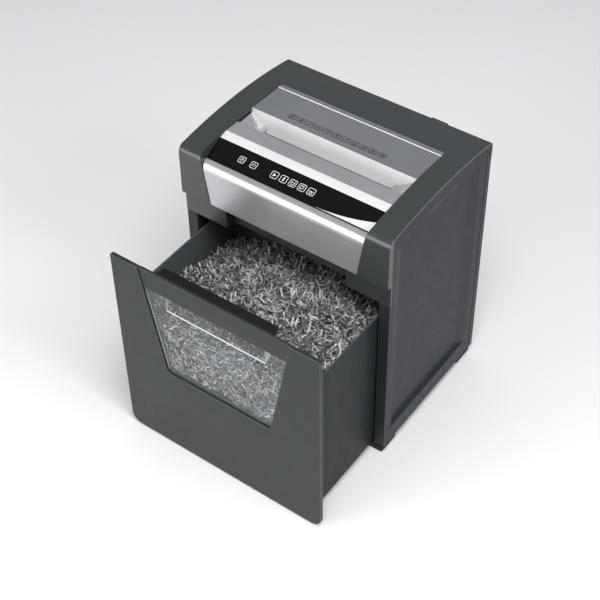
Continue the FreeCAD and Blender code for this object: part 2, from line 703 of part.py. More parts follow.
def make_indicator_lenses():
    """Five clear indicator windows, flush with the fascia."""
    return Part.makeCompound([on_fascia(tile(x, LENS_W, LENS_H, -LENS_T + 0.05, 0.05, 1.5))
                              for x in lens_places()])


def make_control_board():
    """Circuit board under the fascia with a relay, a connector and a row of lamps."""
    left = KEY_X[0] - 12
    right = lens_places()[-1] + 12
    top = -BOARD_DROP
    board = box(left, right, -13, 13, top - BOARD_T, top)
    lamps = [rod_z(top, top + 5, x, 0, 2.5) for x in lens_places()]
    relay = box(right - 22, right - 4, -12, -5, top, top + 5)
    plug = box(left + 2, left + 6, -8, 8, top, top + 4)
    return on_fascia(joined([board, relay, plug] + lamps))


def make_key_switches():
    """Two push switches on the board, one under each key."""
    top = -BOARD_DROP
    return Part.makeCompound([on_fascia(tile(x, 6, 6, top, top + SWITCH_H, 0.6)) for x in KEY_X])


def make_swoosh_trim():
    """Slim silver blade that widens along the fascia's lower right edge."""
    right = HALF_W - CHEEK_MID - 1.2
    left = right - SWOOSH_L
    low = -FASCIA_L / 2 + 1.4
    tip = Vector(left, low, 0)
    toe = Vector(right, low, 0)
    head = Vector(right, low + SWOOSH_H, 0)
    mid = Vector(left + SWOOSH_L * 0.55, low + SWOOSH_H * 0.33, 0)
    wire = Part.Wire([Part.LineSegment(tip, toe).toShape(), Part.LineSegment(toe, head).toShape(),
                      Part.Arc(head, mid, tip).toShape()])
    return on_fascia(Part.Face(wire).extrude(Vector(0, 0, SWOOSH_T))).common(insert_space(-SEAM))


# ================================================================ bin
def window_outline(grow, top_z):
    """(x, z) outline of the trapezoid cut-out in the bin front, grown by a margin."""
    low_z = FRONT_TOP_Z - WINDOW_LOW_DROP
    lean = (WINDOW_TOP_HALF - WINDOW_LOW_HALF) / WINDOW_LOW_DROP

    def half(z):
        return WINDOW_LOW_HALF + lean * (z - low_z) + grow

    return [(-half(low_z - grow), low_z - grow), (half(low_z - grow), low_z - grow),
            (half(top_z), top_z), (-half(top_z), top_z)]


def window_prism(grow, top_z, y0, y1):
    """The trapezoid extruded along Y, with its lower corners rounded."""
    solid = prism_y(window_outline(grow, top_z), y0, y1)
    low_z = FRONT_TOP_Z - WINDOW_LOW_DROP - grow
    return rounded(solid, WINDOW_R, Vector(0, 1, 0), lambda p: abs(p.z - low_z) < 0.01)


def make_bin_front():
    """Bin front: a thick panel with a cut-out that is open at the top."""
    back = BIN_Y + FRONT_T
    panel = box(-HALF_W, HALF_W, BIN_Y, back, FRONT_BASE_Z, FRONT_TOP_Z)
    panel = rounded(panel, FRONT_R, Vector(0, 1, 0), lambda p: p.z < FRONT_BASE_Z + 1)
    panel = rounded(panel, 2.0, Vector(0, 1, 0), lambda p: p.z > FRONT_TOP_Z - 1)
    return panel.cut(window_prism(0, FRONT_TOP_Z + 5, BIN_Y - 1, back + 1))


def make_grip_bar():
    """Bar across the top of the cut-out, that the bin is pulled by."""
    low = FRONT_TOP_Z - GRIP_H
    block = box(-HALF_W, HALF_W, BIN_Y + GRIP_SET, BIN_Y + GRIP_SET + GRIP_T, low, FRONT_TOP_Z)
    return block.common(window_prism(-0.3, FRONT_TOP_Z + 5, BIN_Y - 1, BIN_Y + FRONT_T + 1))


def make_grip_ledge():
    """Black ledge behind the grip bar, with a lip down its back edge."""
    y0 = BIN_Y + FRONT_T
    y1 = y0 + LEDGE_DEEP
    top = FRONT_TOP_Z - LEDGE_SET
    plate = prism_z([(-LEDGE_HALF, y0), (LEDGE_HALF, y0), (LEDGE_HALF - LEDGE_TAPER, y1),
                     (-LEDGE_HALF + LEDGE_TAPER, y1)], top - LEDGE_T, top)
    strip_half = WINDOW_TOP_HALF - 4
    low = FRONT_TOP_Z - GRIP_H + 1
    backing = box(-LEDGE_HALF, LEDGE_HALF, y0, y0 + LEDGE_T, low, top)
    edging = box(-strip_half, strip_half, y0, y0 + SEAM, FRONT_TOP_Z - LEDGE_T * 2, top)
    return joined([plate, backing, edging])


def make_bin_window():
    """Clear window behind the bin front, with a finger scoop under the grip bar."""
    y0 = BIN_Y + GLASS_SET
    y1 = y0 + GLASS_T
    bar_low = FRONT_TOP_Z - GRIP_H
    pane = window_prism(-0.3, bar_low, y0, y1)
    lip_z = FRONT_TOP_Z - SCOOP_DROP
    mouth = box(-SCOOP_HALF + GLASS_T, SCOOP_HALF - GLASS_T, y0 - 1, y1 + 1, lip_z, bar_low + 5)
    back = BIN_Y + FRONT_T + LEDGE_DEEP - 1.0
    roof = FRONT_TOP_Z - LEDGE_SET - LEDGE_T
    behind_bar = BIN_Y + FRONT_T + LEDGE_T
    side = [(y0, lip_z - GLASS_T), (back, lip_z + SCOOP_RISE - GLASS_T), (back, roof),
            (behind_bar, roof), (behind_bar, bar_low), (y0, bar_low)]
    room = [(y0 - 1, lip_z - SCOOP_RISE / LEDGE_DEEP), (back - GLASS_T, lip_z + SCOOP_RISE - GLASS_T),
            (back - GLASS_T, roof + 1), (y0 - 1, roof + 1)]
    scoop = prism_x(side, -SCOOP_HALF, SCOOP_HALF).cut(
        prism_x(room, -SCOOP_HALF + GLASS_T, SCOOP_HALF - GLASS_T))
    return joined([pane.cut(mouth), scoop])


def make_bin_tub():
    """Open-topped tub with a window in its front wall."""
    tub = box(-TUB_HALF, TUB_HALF, TUB_FRONT, TUB_BACK, TUB_BASE_Z, TUB_TOP_Z)
    tub = rounded(tub, 6.0, Vector(0, 0, 1), lambda p: p.y > TUB_BACK - 1)
    hollow = box(-TUB_HALF + TUB_T, TUB_HALF - TUB_T, TUB_FRONT + TUB_T, TUB_BACK - TUB_T,
                 TUB_BASE_Z + TUB_T, TUB_TOP_Z + 1)
    hollow = rounded(hollow, 4.0, Vector(0, 0, 1), lambda p: p.y > TUB_BACK - TUB_T - 1)
    sight = window_prism(0, TUB_TOP_Z + 5, TUB_FRONT - 1, TUB_FRONT + TUB_T + 1)
    return tub.cut([hollow, sight])


def make_paper_shreds():
    """Heap of shreds as one closed, hollow body a little inside the tub."""
    half = TUB_HALF - TUB_T - SHRED_GAP
    front = TUB_FRONT + TUB_T + SHRED_GAP
    back = TUB_BACK - TUB_T - SHRED_GAP
    low = TUB_BASE_Z + TUB_T + SHRED_GAP
    high = TUB_TOP_Z - SHRED_DROP

    def heap(inset):
        side = high - SHRED_SIDE_DROP - inset
        wide = half - inset
        outline = [(-wide, low + inset), (wide, low + inset), (wide, side + 12),
                   (half * 0.5, high - 3 - inset), (0, high - inset), (-half * 0.5, high - 5 - inset),
                   (-wide, side)]
        body = prism_y(outline, front + inset, back - inset)
        return rounded(body, 5.0 - inset / 2, Vector(0, 0, 1), lambda p: p.y > back - inset - 1)

    return heap(0.0).cut(heap(SHRED_WALL))


# ================================================================ cutting mechanism
def make_mechanism_floor():
    """Plate that carries the cutters and closes the head, open under the cutters."""
    front = WALL_FRONT + SHELL_T + SEAM
    pocket_back = WALL_FRONT + SEAM * 2 + LEDGE_DEEP + SHELL_T + SEAM
    plate = box(-WALL_IN + SEAM, WALL_IN - SEAM, front, PANEL_BACK_Y - BACK_T - SEAM,
                FLOOR_TOP - FLOOR_T, FLOOR_TOP)
    pocket_half = LEDGE_HALF + LEDGE_CLEAR + SHELL_T + SEAM
    chute = box(-SLOT_L / 2 - 1, SLOT_L / 2 + 1, NIP_Y - DISC_R - SHAFT_GAP / 2 - 2,
                NIP_Y + DISC_R + SHAFT_GAP / 2 + 2, FLOOR_TOP - FLOOR_T - 1, FLOOR_TOP + 1)
    relief = box(-pocket_half, pocket_half, front - 1, pocket_back, FLOOR_TOP - FLOOR_T - 1, FLOOR_TOP + 1)
    holes = [rod_z(FLOOR_TOP - FLOOR_T - 1, FLOOR_TOP + 1, x, y, 2.2) for x, y in foot_screw_places()]
    return plate.cut([chute, relief] + holes)


def foot_screw_places():
    """(x, y) of the screws under the cutter frame."""
    x = PLATE_OUT - PLATE_T / 2 + 8
    return [(side * x, y) for side in (-1, 1) for y in (NIP_Y - PLATE_FRONT + 8, NIP_Y + PLATE_REAR - 12)]


def make_cutter_plate(side):
    """Steel frame plate with a foot; side is -1 for the gear side and 1 for the other."""
    low, high = sorted((side * PLATE_IN, side * PLATE_OUT))
    rear = NIP_Y + (PLATE_REAR if side < 0 else 60.0)
    plate = box(low, high, NIP_Y - PLATE_FRONT, rear, FLOOR_TOP, PLATE_TOP)
    foot_low, foot_high = sorted((side * PLATE_IN, side * (PLATE_OUT + 13)))
    holes = [rod_x(low - 1, high + 1, centre, BUSH_R) for centre in (FRONT_SHAFT, REAR_SHAFT)]
    holes += [rod_x(low - 1, high + 1, centre, TIE_R * 0.6) for centre in tie_places()]
    feet = []
    for x, y in foot_screw_places():
        if x * side > 0 and y < rear:
            pad = box(foot_low, foot_high, y - 8, y + 8, FLOOR_TOP, FLOOR_TOP + PLATE_T)
            feet.append(pad)
            holes.append(rod_z(FLOOR_TOP - 1, FLOOR_TOP + PLATE_T + 1, x, y, 2.2))
    if side < 0:
        holes.append(rod_x(low - 1, high + 1, MOTOR_AXIS, 7.0))
        holes += [rod_x(low - 1, high + 1, centre, PIN_R) for centre in (SECOND_AXIS, FIRST_AXIS)]
    return joined([plate] + feet).cut(holes)


def tie_places():
    """(y, z) of the tie rods."""
    return [(NIP_Y - PLATE_FRONT + 8, FLOOR_TOP + 12), (NIP_Y + 48, FLOOR_TOP + 12),
            (NIP_Y + 48, PLATE_TOP - 10)]


def make_tie_rods():
    """Rods between the frame plates, with reduced ends in the plates' holes."""
    rods = []
    for centre in tie_places():
        middle = rod_x(-PLATE_IN, PLATE_IN, centre, TIE_R)
        ends = rod_x(-PLATE_OUT - 1, PLATE_OUT + 1, centre, TIE_R * 0.6)
        rods.append(middle.fuse(ends).removeSplitter())
    return Part.makeCompound(rods)


def disc_count():
    """How many discs each shaft carries."""
    return int((SLOT_L - DISC_PITCH) / DISC_PITCH)


def disc_edges(offset):
    """X of the two faces of each disc on a shaft; offset staggers one shaft against the other."""
    start = -disc_count() * DISC_PITCH / 2 + offset
    return [(start + DISC_PITCH * i, start + DISC_PITCH * i + DISC_T) for i in range(disc_count())]


def make_cutter(centre, offset, left_end, right_end):
    """Cutter roll: journals at both ends and a stack of discs with spacers between."""
    y, z = centre
    reach = SLOT_L / 2 + ROLL_OVER
    outline = [(left_end, 0), (left_end, JOURNAL_R), (-reach, JOURNAL_R), (-reach, SPACER_R)]
    for x0, x1 in disc_edges(offset):
        outline += [(x0, SPACER_R), (x0, DISC_R), (x1, DISC_R), (x1, SPACER_R)]
    outline += [(reach, SPACER_R), (reach, JOURNAL_R), (right_end, JOURNAL_R), (right_end, 0)]
    half = face_of([Vector(x, y, z + r) for x, r in outline])
    roll = half.revolve(Vector(0, y, z), Vector(1, 0, 0), 360)
    grooves = []
    for i in range(FLUTES):
        mid = beyond(centre, DISC_R + FLUTE_OUT, 2 * math.pi * i / FLUTES)
        grooves.append(rod_x(-reach, reach, mid, FLUTE_R))
    return roll.cut(grooves)


def make_comb(front):
    """Stripper comb whose fingers reach in between one shaft's discs."""
    sign = -1 if front else 1
    axis_y = FRONT_SHAFT[0] if front else REAR_SHAFT[0]
    near = axis_y + sign * (SPACER_R + 0.8)
    spine = axis_y + sign * (DISC_R + 2.5)
    far = spine + sign * 3.0
    offset = 0.0 if front else DISC_PITCH / 2
    reach = SLOT_L / 2 + ROLL_OVER
    outline = [(-reach, spine), (-reach, far), (reach, far), (reach, spine)]
    slack = 0.35
    fingers = disc_edges(offset)
    for (_, x0), (x1, _) in reversed(list(zip(fingers[:-1], fingers[1:]))):
        outline += [(x1 - slack, spine), (x1 - slack, near), (x0 + slack, near), (x0 + slack, spine)]
    return prism_z(outline, CUTTER_Z - COMB_T / 2, CUTTER_Z + COMB_T / 2)


def make_cutter_bushes():
    """Four plain bushes for the cutter shafts."""
    bushes = []
    for side in (-1, 1):
        for centre in (FRONT_SHAFT, REAR_SHAFT):
            low, high = sorted((side * PLATE_IN, side * PLATE_OUT))
            bush = rod_x(low, high, centre, BUSH_R)
            bushes.append(bush.cut(rod_x(low - 1, high + 1, centre, JOURNAL_R + JOURNAL_FIT)))
    return Part.makeCompound(bushes)


# ================================================================ gear train
def beyond(centre, distance, angle):
    """Point at a distance and an angle from a centre, in the YZ plane."""
    return (centre[0] + distance * math.cos(angle), centre[1] + distance * math.sin(angle))


def mesh_distance(module, teeth_a, teeth_b):
    """Centre distance of two meshed gears."""
    return module * (teeth_a + teeth_b) / 2


SECOND_AXIS = beyond(REAR_SHAFT, mesh_distance(FINAL_MODULE, FINAL_TEETH, FINAL_PINION), SECOND_ANGLE)
FIRST_AXIS = beyond(SECOND_AXIS, mesh_distance(SECOND_MODULE, SECOND_TEETH, SECOND_PINION), FIRST_ANGLE)
MOTOR_AXIS = beyond(FIRST_AXIS, mesh_distance(FIRST_MODULE, FIRST_TEETH, FIRST_PINION), MOTOR_ANGLE)


def meshed_phase(phase_a, teeth_a, teeth_b, line):
    """Angle of a tooth of gear b that meshes with gear a; line is the angle from a to b."""
    part = (phase_a - line) * teeth_a / (2 * math.pi)
    return line + math.pi + (2 * math.pi / teeth_b) * (0.5 - part)


def gear(teeth, module, phase, centre, x0, x1):
    """Spur gear blank with straight-sided teeth and working clearance."""
    radius = module * teeth / 2
    tip = radius + 0.85 * module
    root = radius - 1.2 * module
    pitch = 2 * math.pi / teeth
    outline = []
    for i in range(teeth):
        middle = phase + pitch * i
        for r, share in ((root, -0.27), (radius, -0.205), (tip, -0.10), (tip, 0.10), (radius, 0.205),
                         (root, 0.27)):
            outline.append(beyond(centre, r, middle + pitch * share))
    return prism_x(outline, x0, x1)


SYNC_X = (-PLATE_OUT - 11.5, -PLATE_OUT - 2.5)
FINAL_X = (-PLATE_OUT - 24.5, -PLATE_OUT - 14.5)
OUTER_X = (-PLATE_OUT - 32.0, -PLATE_OUT - 26.0)
FIRST_X = (-PLATE_OUT - 21.5, -PLATE_OUT - 15.5)
COVER_X = -PLATE_OUT - 34.0
FINAL_PHASE = 0.0
SECOND_PINION_PHASE = meshed_phase(FINAL_PHASE, FINAL_TEETH, FINAL_PINION, SECOND_ANGLE)
FIRST_PINION_PHASE = meshed_phase(0.0, SECOND_TEETH, SECOND_PINION, FIRST_ANGLE)
MOTOR_PHASE = meshed_phase(0.0, FIRST_TEETH, FIRST_PINION, MOTOR_ANGLE)


def make_sync_gears():
    """The equal gears that make the two cutter shafts turn against each other."""
    front = gear(SYNC_TEETH, SYNC_MODULE, meshed_phase(0.0, SYNC_TEETH, SYNC_TEETH, math.pi),
                 FRONT_SHAFT, *SYNC_X)
    rear = gear(SYNC_TEETH, SYNC_MODULE, 0.0, REAR_SHAFT, *SYNC_X)
    bored = []
    for blank, centre in ((front, FRONT_SHAFT), (rear, REAR_SHAFT)):
        bored.append(blank.cut(rod_x(SYNC_X[0] - 1, SYNC_X[1] + 1, centre, JOURNAL_R)))
    return bored


def make_final_gear():
    """Large gear on the rear cutter shaft, lightened by a web."""
    wheel = gear(FINAL_TEETH, FINAL_MODULE, FINAL_PHASE, REAR_SHAFT, *FINAL_X)
    ring = rod_x(FINAL_X[0] - 1, FINAL_X[0] + 3, REAR_SHAFT, 29.0).cut(
        rod_x(FINAL_X[0] - 1, FINAL_X[0] + 3, REAR_SHAFT, 12.0))
    return wheel.cut([ring, rod_x(FINAL_X[0] - 1, FINAL_X[1] + 1, REAR_SHAFT, JOURNAL_R)])


def make_compound_gear(wheel, pinion, centre, bridge):
    """Wheel and pinion in one piece, running on a fixed pin."""
    hub = rod_x(bridge[0], bridge[1], centre, 6.0)
    bore = rod_x(OUTER_X[0] - 1, -PLATE_OUT, centre, PIN_R + PIN_FIT)
    return joined([wheel, pinion, hub]).cut(bore)


def make_second_gear():
    """Second reduction: pinion on the final gear, wheel on the first gear's pinion."""
    wheel = gear(SECOND_TEETH, SECOND_MODULE, 0.0, SECOND_AXIS, *OUTER_X)
    pinion = gear(FINAL_PINION, FINAL_MODULE, SECOND_PINION_PHASE, SECOND_AXIS, *FINAL_X)
    return make_compound_gear(wheel, pinion, SECOND_AXIS, (OUTER_X[0], FINAL_X[1]))


def make_first_gear():
    """First reduction: wheel on the motor pinion, pinion on the second gear's wheel."""
    wheel = gear(FIRST_TEETH, FIRST_MODULE, 0.0, FIRST_AXIS, *FIRST_X)
    pinion = gear(SECOND_PINION, SECOND_MODULE, FIRST_PINION_PHASE, FIRST_AXIS, *OUTER_X)
    return joined([wheel, pinion, rod_x(OUTER_X[1], FIRST_X[0], FIRST_AXIS, 5.0)]).cut(
        rod_x(OUTER_X[0] - 1, -PLATE_OUT, FIRST_AXIS, PIN_R + PIN_FIT))


def make_gear_pins():
    """Fixed pins that the two compound gears turn on, with a collar that spaces each gear."""
    pins = []
    for centre, inner in ((SECOND_AXIS, FINAL_X[1]), (FIRST_AXIS, FIRST_X[1])):
        pin = rod_x(COVER_X, -PLATE_IN, centre, PIN_R)
        collar = rod_x(inner + 0.4, -PLATE_OUT, centre, PIN_R + 2.5)
        pins.append(pin.fuse(collar).removeSplitter())
    return Part.makeCompound(pins)


def make_gear_cover():
    """Plastic cover over the gears: a plate with a rim back to the frame plate."""
    y0 = NIP_Y - PLATE_FRONT + 2
    y1 = NIP_Y + PLATE_REAR - 16
    z0 = FLOOR_TOP + PLATE_T + 3.5
    z1 = SECOND_AXIS[1] + SECOND_MODULE * (SECOND_TEETH / 2 + 1) + 4
    outer = box(COVER_X - 2, -PLATE_OUT - 0.5, y0, y1, z0, z1)
    outer = rounded(outer, 8.0, Vector(1, 0, 0), lambda p: True)
    inner = box(COVER_X, -PLATE_OUT, y0 + 2, y1 - 2, z0 + 2, z1 - 2)
    inner = rounded(inner, 6.0, Vector(1, 0, 0), lambda p: True)
    return outer.cut(inner)


# ================================================================ motor
MOTOR_X = (-PLATE_IN + 0.5, -PLATE_IN + 0.5 + MOTOR_L)


def make_motor_body():
    """Motor can with its gear-side end plate and vent slots."""
    x0, x1 = MOTOR_X
    can = rod_x(x0, x1, MOTOR_AXIS, MOTOR_R)
    hollow = rod_x(x0 + 4, x1 + 1, MOTOR_AXIS, MOTOR_R - MOTOR_T)
    bearing = rod_x(x0 - 1, x0 + 5, MOTOR_AXIS, MOTOR_SHAFT_R + JOURNAL_FIT)
    vents = []
    for i in range(8):
        angle = 2 * math.pi * (i + 0.5) / 8
        y, z = beyond(MOTOR_AXIS, MOTOR_R - 1, angle)
        vents.append(rod_x(x1 - 24, x1 - 14, (y, z), 3.0))
    return can.cut([hollow, bearing] + vents)


def make_motor_end_cap():
    """Rear end cap of the motor with the second bearing."""
    x1 = MOTOR_X[1]
    cap = rod_x(x1, x1 + 6, MOTOR_AXIS, MOTOR_R)
    spigot = rod_x(x1 - 4, x1, MOTOR_AXIS, MOTOR_R - MOTOR_T)
    cap = cap.fuse(spigot).removeSplitter()
    return cap.cut(rod_x(x1 - 5, x1 + 3, MOTOR_AXIS, MOTOR_SHAFT_R + JOURNAL_FIT))


def make_motor_rotor():
    """Rotor with its shaft, commutator and windings as turned steps."""
    x0, x1 = MOTOR_X
    shaft = rod_x(FIRST_X[0], x1 + 2, MOTOR_AXIS, MOTOR_SHAFT_R)
    stack = rod_x(x0 + 20, x1 - 30, MOTOR_AXIS, ROTOR_R)
    ends = rod_x(x0 + 12, x1 - 22, MOTOR_AXIS, ROTOR_R * 0.8)
    commutator = rod_x(x1 - 22, x1 - 10, MOTOR_AXIS, ROTOR_R * 0.5)
    slots = []
    for i in range(10):
        angle = 2 * math.pi * i / 10
        slots.append(rod_x(x0 + 19, x1 - 29, beyond(MOTOR_AXIS, ROTOR_R, angle), 1.5))
    return joined([shaft, stack, ends, commutator]).cut(slots)


def make_motor_pinion():
    """Pinion on the motor shaft."""
    blank = gear(FIRST_PINION, FIRST_MODULE, MOTOR_PHASE, MOTOR_AXIS, *FIRST_X)
    return blank.cut(rod_x(FIRST_X[0] - 1, FIRST_X[1] + 1, MOTOR_AXIS, MOTOR_SHAFT_R))


def make_thermal_cutout():
    """Small cut-out clipped to the top of the motor, with two terminals."""
    x = (MOTOR_X[0] + MOTOR_X[1]) / 2
    y, z = MOTOR_AXIS
    seat = z + MOTOR_R
    body = box(x - 8, x + 8, y - 5, y + 5, seat + 0.1, seat + 6)
    tabs = [box(x - 5, x - 2, y - 0.4, y + 0.4, seat + 6, seat + 11),
            box(x + 2, x + 5, y - 0.4, y + 0.4, seat + 6, seat + 11)]
    return joined([body] + tabs)


# ================================================================ sensors, rear switch and inlet
def make_paper_sensors():
    """Sender and receiver that look across the feed slot."""
    rear = FRONT_Y + SLOT_REAR
    z = CREST_Z - SLOT_DROP - SLOT_DEEP + 4
    off = THROAT_T + 0.2
    front = box(-5, 5, rear - SLOT_W - off - 8, rear - SLOT_W - off, z - 3, z + 5)
    back = box(-5, 5, rear + off, rear + off + 8, z - 3, z + 5)
    return Part.makeCompound([front, back])


BEZEL_TOP = DOME_BACK_Z - BEZEL_UNDER
ROCKER_Z = BEZEL_TOP - BEZEL_H / 2
ROCKER_Y = BACK_Y + ROCKER_OUT


def make_switch_bezel():
    """Frame of the rear switch, standing a little proud of the shell's back."""
    frame = box(BEZEL_X - BEZEL_W / 2, BEZEL_X + BEZEL_W / 2, BACK_Y, BACK_Y + BEZEL_PROUD,
                BEZEL_TOP - BEZEL_H, BEZEL_TOP)
    frame = rounded(frame, 3.0, Vector(0, 1, 0), lambda p: True)
    throat = box(BEZEL_X - ROCKER_W / 2 - 2, BEZEL_X + ROCKER_W / 2 + 2, BACK_Y - 12, BACK_Y,
                 ROCKER_Z - ROCKER_H / 2 - 2, ROCKER_Z + ROCKER_H / 2 + 2)
    well = box(BEZEL_X - ROCKER_W / 2 - ROCKER_GAP, BEZEL_X + ROCKER_W / 2 + ROCKER_GAP, BACK_Y - 10,
               BACK_Y + BEZEL_PROUD + 1, ROCKER_Z - ROCKER_H / 2 - 1, ROCKER_Z + ROCKER_H / 2 + 1)
    return joined([frame, throat]).cut(well)


def make_switch_hole():
    """Hole in the shell's back for the rear switch."""
    return box(BEZEL_X - ROCKER_W / 2 - 2.3, BEZEL_X + ROCKER_W / 2 + 2.3, BACK_Y - SHELL_T - 2,
               BACK_Y + 1, ROCKER_Z - ROCKER_H / 2 - 2.3, ROCKER_Z + ROCKER_H / 2 + 2.3)


def make_power_rocker():
    """Rocker of the rear switch, a shallow V that turns on an axis along X."""
    high = ROCKER_H / 2
    outline = [(ROCKER_Y - 6, -3), (ROCKER_Y - 6, 3), (ROCKER_Y + 1.0, high), (ROCKER_Y + ROCKER_TIP, high),
               (ROCKER_Y + ROCKER_TIP / 2, 0), (ROCKER_Y + ROCKER_TIP, -high), (ROCKER_Y + 1.0, -high)]
    outline = [(y, ROCKER_Z + z) for y, z in outline]
    rocker = prism_x(outline, BEZEL_X - ROCKER_W / 2, BEZEL_X + ROCKER_W / 2)
    rocker.rotate(Vector(BEZEL_X, ROCKER_Y, ROCKER_Z), Vector(1, 0, 0), -ROCKER_TILT)
    return rocker


def make_cord_gland():
    """Gland in the back panel, where a mains lead comes out."""
    z = CREST_Z - INLET_DROP
    flange = rod_y(PANEL_BACK_Y, PANEL_BACK_Y + 2, GLAND_X, z, GLAND_FLANGE_R)
    barrel = rod_y(PANEL_BACK_Y - BACK_T - 6, PANEL_BACK_Y, GLAND_X, z, GLAND_R)
    bore = rod_y(PANEL_BACK_Y - 20, PANEL_BACK_Y + 10, GLAND_X, z, LEAD_R)
    return flange.fuse(barrel).removeSplitter().cut(bore)


def make_interlock_switch():
    """Switch on the back panel that tells whether the bin is in."""
    y1 = PANEL_BACK_Y - BACK_T
    body = box(INTERLOCK_X - 10, INTERLOCK_X + 10, y1 - 9, y1, INTERLOCK_Z - 7, INTERLOCK_Z + 7)
    return body.cut(rod_y(y1 - 10, y1 - 1.5, INTERLOCK_X, INTERLOCK_Z, PLUNGER_R + 0.15))


def make_interlock_plunger():
    """Sprung plunger of the interlock switch."""
    y0 = PANEL_BACK_Y - BACK_T - 9 - PLUNGER_OUT
    return rod_y(y0, y0 + PLUNGER_OUT + 4.5, INTERLOCK_X, INTERLOCK_Z, PLUNGER_R)


def make_frame_screws():
    """Screws that hold the cutter frame down on the mechanism floor."""
    pieces = []
    for x, y in foot_screw_places():
        if x > 0 and y > NIP_Y + 60:
            continue
        one = screw(*FRAME_SCREW, PLATE_T + FLOOR_T + 1)
        one.translate(Vector(x, y, FLOOR_TOP + PLATE_T))
        pieces.append(one)
    return Part.makeCompound(pieces)


def main():
    """Build every piece and write it to parts/."""
    os.makedirs("parts", exist_ok=True)
    save("top_shell", make_top_shell().cut(make_switch_hole()))
    wall = make_side_wall()
    save("right_side_wall", wall)
    save("left_side_wall", mirrored(wall))
    panel = make_side_panel()
    save("right_side_panel", panel)
    save("left_side_panel", mirrored(panel))
    save("back_panel", make_back_panel())
    save("back_screws", make_back_screws())
    save("base_tray", make_base_tray())
    save("front_feet", make_feet(True))
    save("rear_feet", make_feet(False))
    save("bin_runners", make_bin_runners())

    save("rear_deck", make_rear_deck())
    save("feed_throat", make_feed_throat())
    save("front_deck", make_front_deck())
    save("front_cowl", make_front_cowl())
    save("control_fascia", make_control_fascia())
    save("power_key", make_key(KEY_X[0]))
    save("reverse_key", make_key(KEY_X[1]))
    save("indicator_lenses", make_indicator_lenses())
    save("control_board", make_control_board())
    save("key_switches", make_key_switches())
    save("swoosh_trim", make_swoosh_trim())

    save("bin_front", make_bin_front())
    save("grip_bar", make_grip_bar())
    save("grip_ledge", make_grip_ledge())
    save("bin_window", make_bin_window())
    save("bin_tub", make_bin_tub())
    save("paper_shreds", make_paper_shreds())

    save("mechanism_floor", make_mechanism_floor())
    save("left_cutter_plate", make_cutter_plate(-1))
    save("right_cutter_plate", make_cutter_plate(1))
    save("tie_rods", make_tie_rods())
    save("front_cutter", make_cutter(FRONT_SHAFT, 0.0, SYNC_X[0], PLATE_OUT + 3))
    save("rear_cutter", make_cutter(REAR_SHAFT, DISC_PITCH / 2, FINAL_X[0], PLATE_OUT + 3))
    save("front_comb", make_comb(True))
    save("rear_comb", make_comb(False))
    save("cutter_bushes", make_cutter_bushes())
    front_sync, rear_sync = make_sync_gears()
    save("front_sync_gear", front_sync)
    save("rear_sync_gear", rear_sync)
    save("final_gear", make_final_gear())
    save("second_gear", make_second_gear())
    save("first_gear", make_first_gear())
    save("gear_pins", make_gear_pins())
    save("gear_cover", make_gear_cover())
    save("frame_screws", make_frame_screws())
    save("motor_body", make_motor_body())
    save("motor_end_cap", make_motor_end_cap())
    save("motor_rotor", make_motor_rotor())
    save("motor_pinion", make_motor_pinion())
    save("thermal_cutout", make_thermal_cutout())

    save("paper_sensors", make_paper_sensors())
    save("switch_bezel", make_switch_bezel())
    save("power_rocker", make_power_rocker())
    save("cord_gland", make_cord_gland())
    save("interlock_switch", make_interlock_switch())
    save("interlock_plunger", make_interlock_plunger())


main()
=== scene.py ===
"""Looks of a deskside cross-cut paper shredder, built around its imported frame.

Metres, +Z up, front towards -Y, the same frame as the CAD model. The bin stands part-way
out, as it does in the frame at rest.
"""

import json
import logging
import math
import random
from dataclasses import dataclass, field
from enum import Enum
from functools import cache
from typing import Callable, Iterable, Protocol, Sequence

import bmesh
import bpy
import numpy as np
from mathutils import Matrix, Vector, noise
from mathutils.bvhtree import BVHTree


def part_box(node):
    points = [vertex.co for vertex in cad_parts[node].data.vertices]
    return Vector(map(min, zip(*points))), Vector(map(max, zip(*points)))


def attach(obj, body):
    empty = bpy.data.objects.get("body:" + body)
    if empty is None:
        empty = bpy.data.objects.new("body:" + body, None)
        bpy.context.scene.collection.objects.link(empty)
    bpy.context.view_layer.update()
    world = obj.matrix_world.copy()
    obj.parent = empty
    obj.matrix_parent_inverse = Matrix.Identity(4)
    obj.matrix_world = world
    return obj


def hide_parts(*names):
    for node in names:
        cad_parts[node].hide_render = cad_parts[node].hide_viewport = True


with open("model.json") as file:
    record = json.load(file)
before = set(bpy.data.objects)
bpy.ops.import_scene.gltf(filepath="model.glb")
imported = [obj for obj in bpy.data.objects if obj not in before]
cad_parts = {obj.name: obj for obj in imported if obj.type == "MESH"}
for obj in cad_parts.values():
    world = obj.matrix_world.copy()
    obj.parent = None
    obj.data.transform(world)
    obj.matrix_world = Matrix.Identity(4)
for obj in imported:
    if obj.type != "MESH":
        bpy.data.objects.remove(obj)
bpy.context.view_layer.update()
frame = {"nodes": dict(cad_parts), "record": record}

LOG = logging.getLogger("shredder")
MM = 0.001
MERGE_DISTANCE = 1e-6
FLAT_ANGLE = math.radians(0.4)
SHARP_ANGLE = math.radians(28.0)
SHADE_WEIGHT = 80
ARC_STEPS = 14
WEAR_AND_HIGHLIGHT = "wear_and_painted_highlight"
TONE_AND_SHADE = "paper_tone_and_shade"
DOWNWARD = Vector((0.0, 0.0, -1.0))
BACKWARD = Vector((0.0, 1.0, 0.0))
FORWARD = Vector((0.0, -1.0, 0.0))

Colour = tuple[float, float, float]
Span = tuple[float, float]


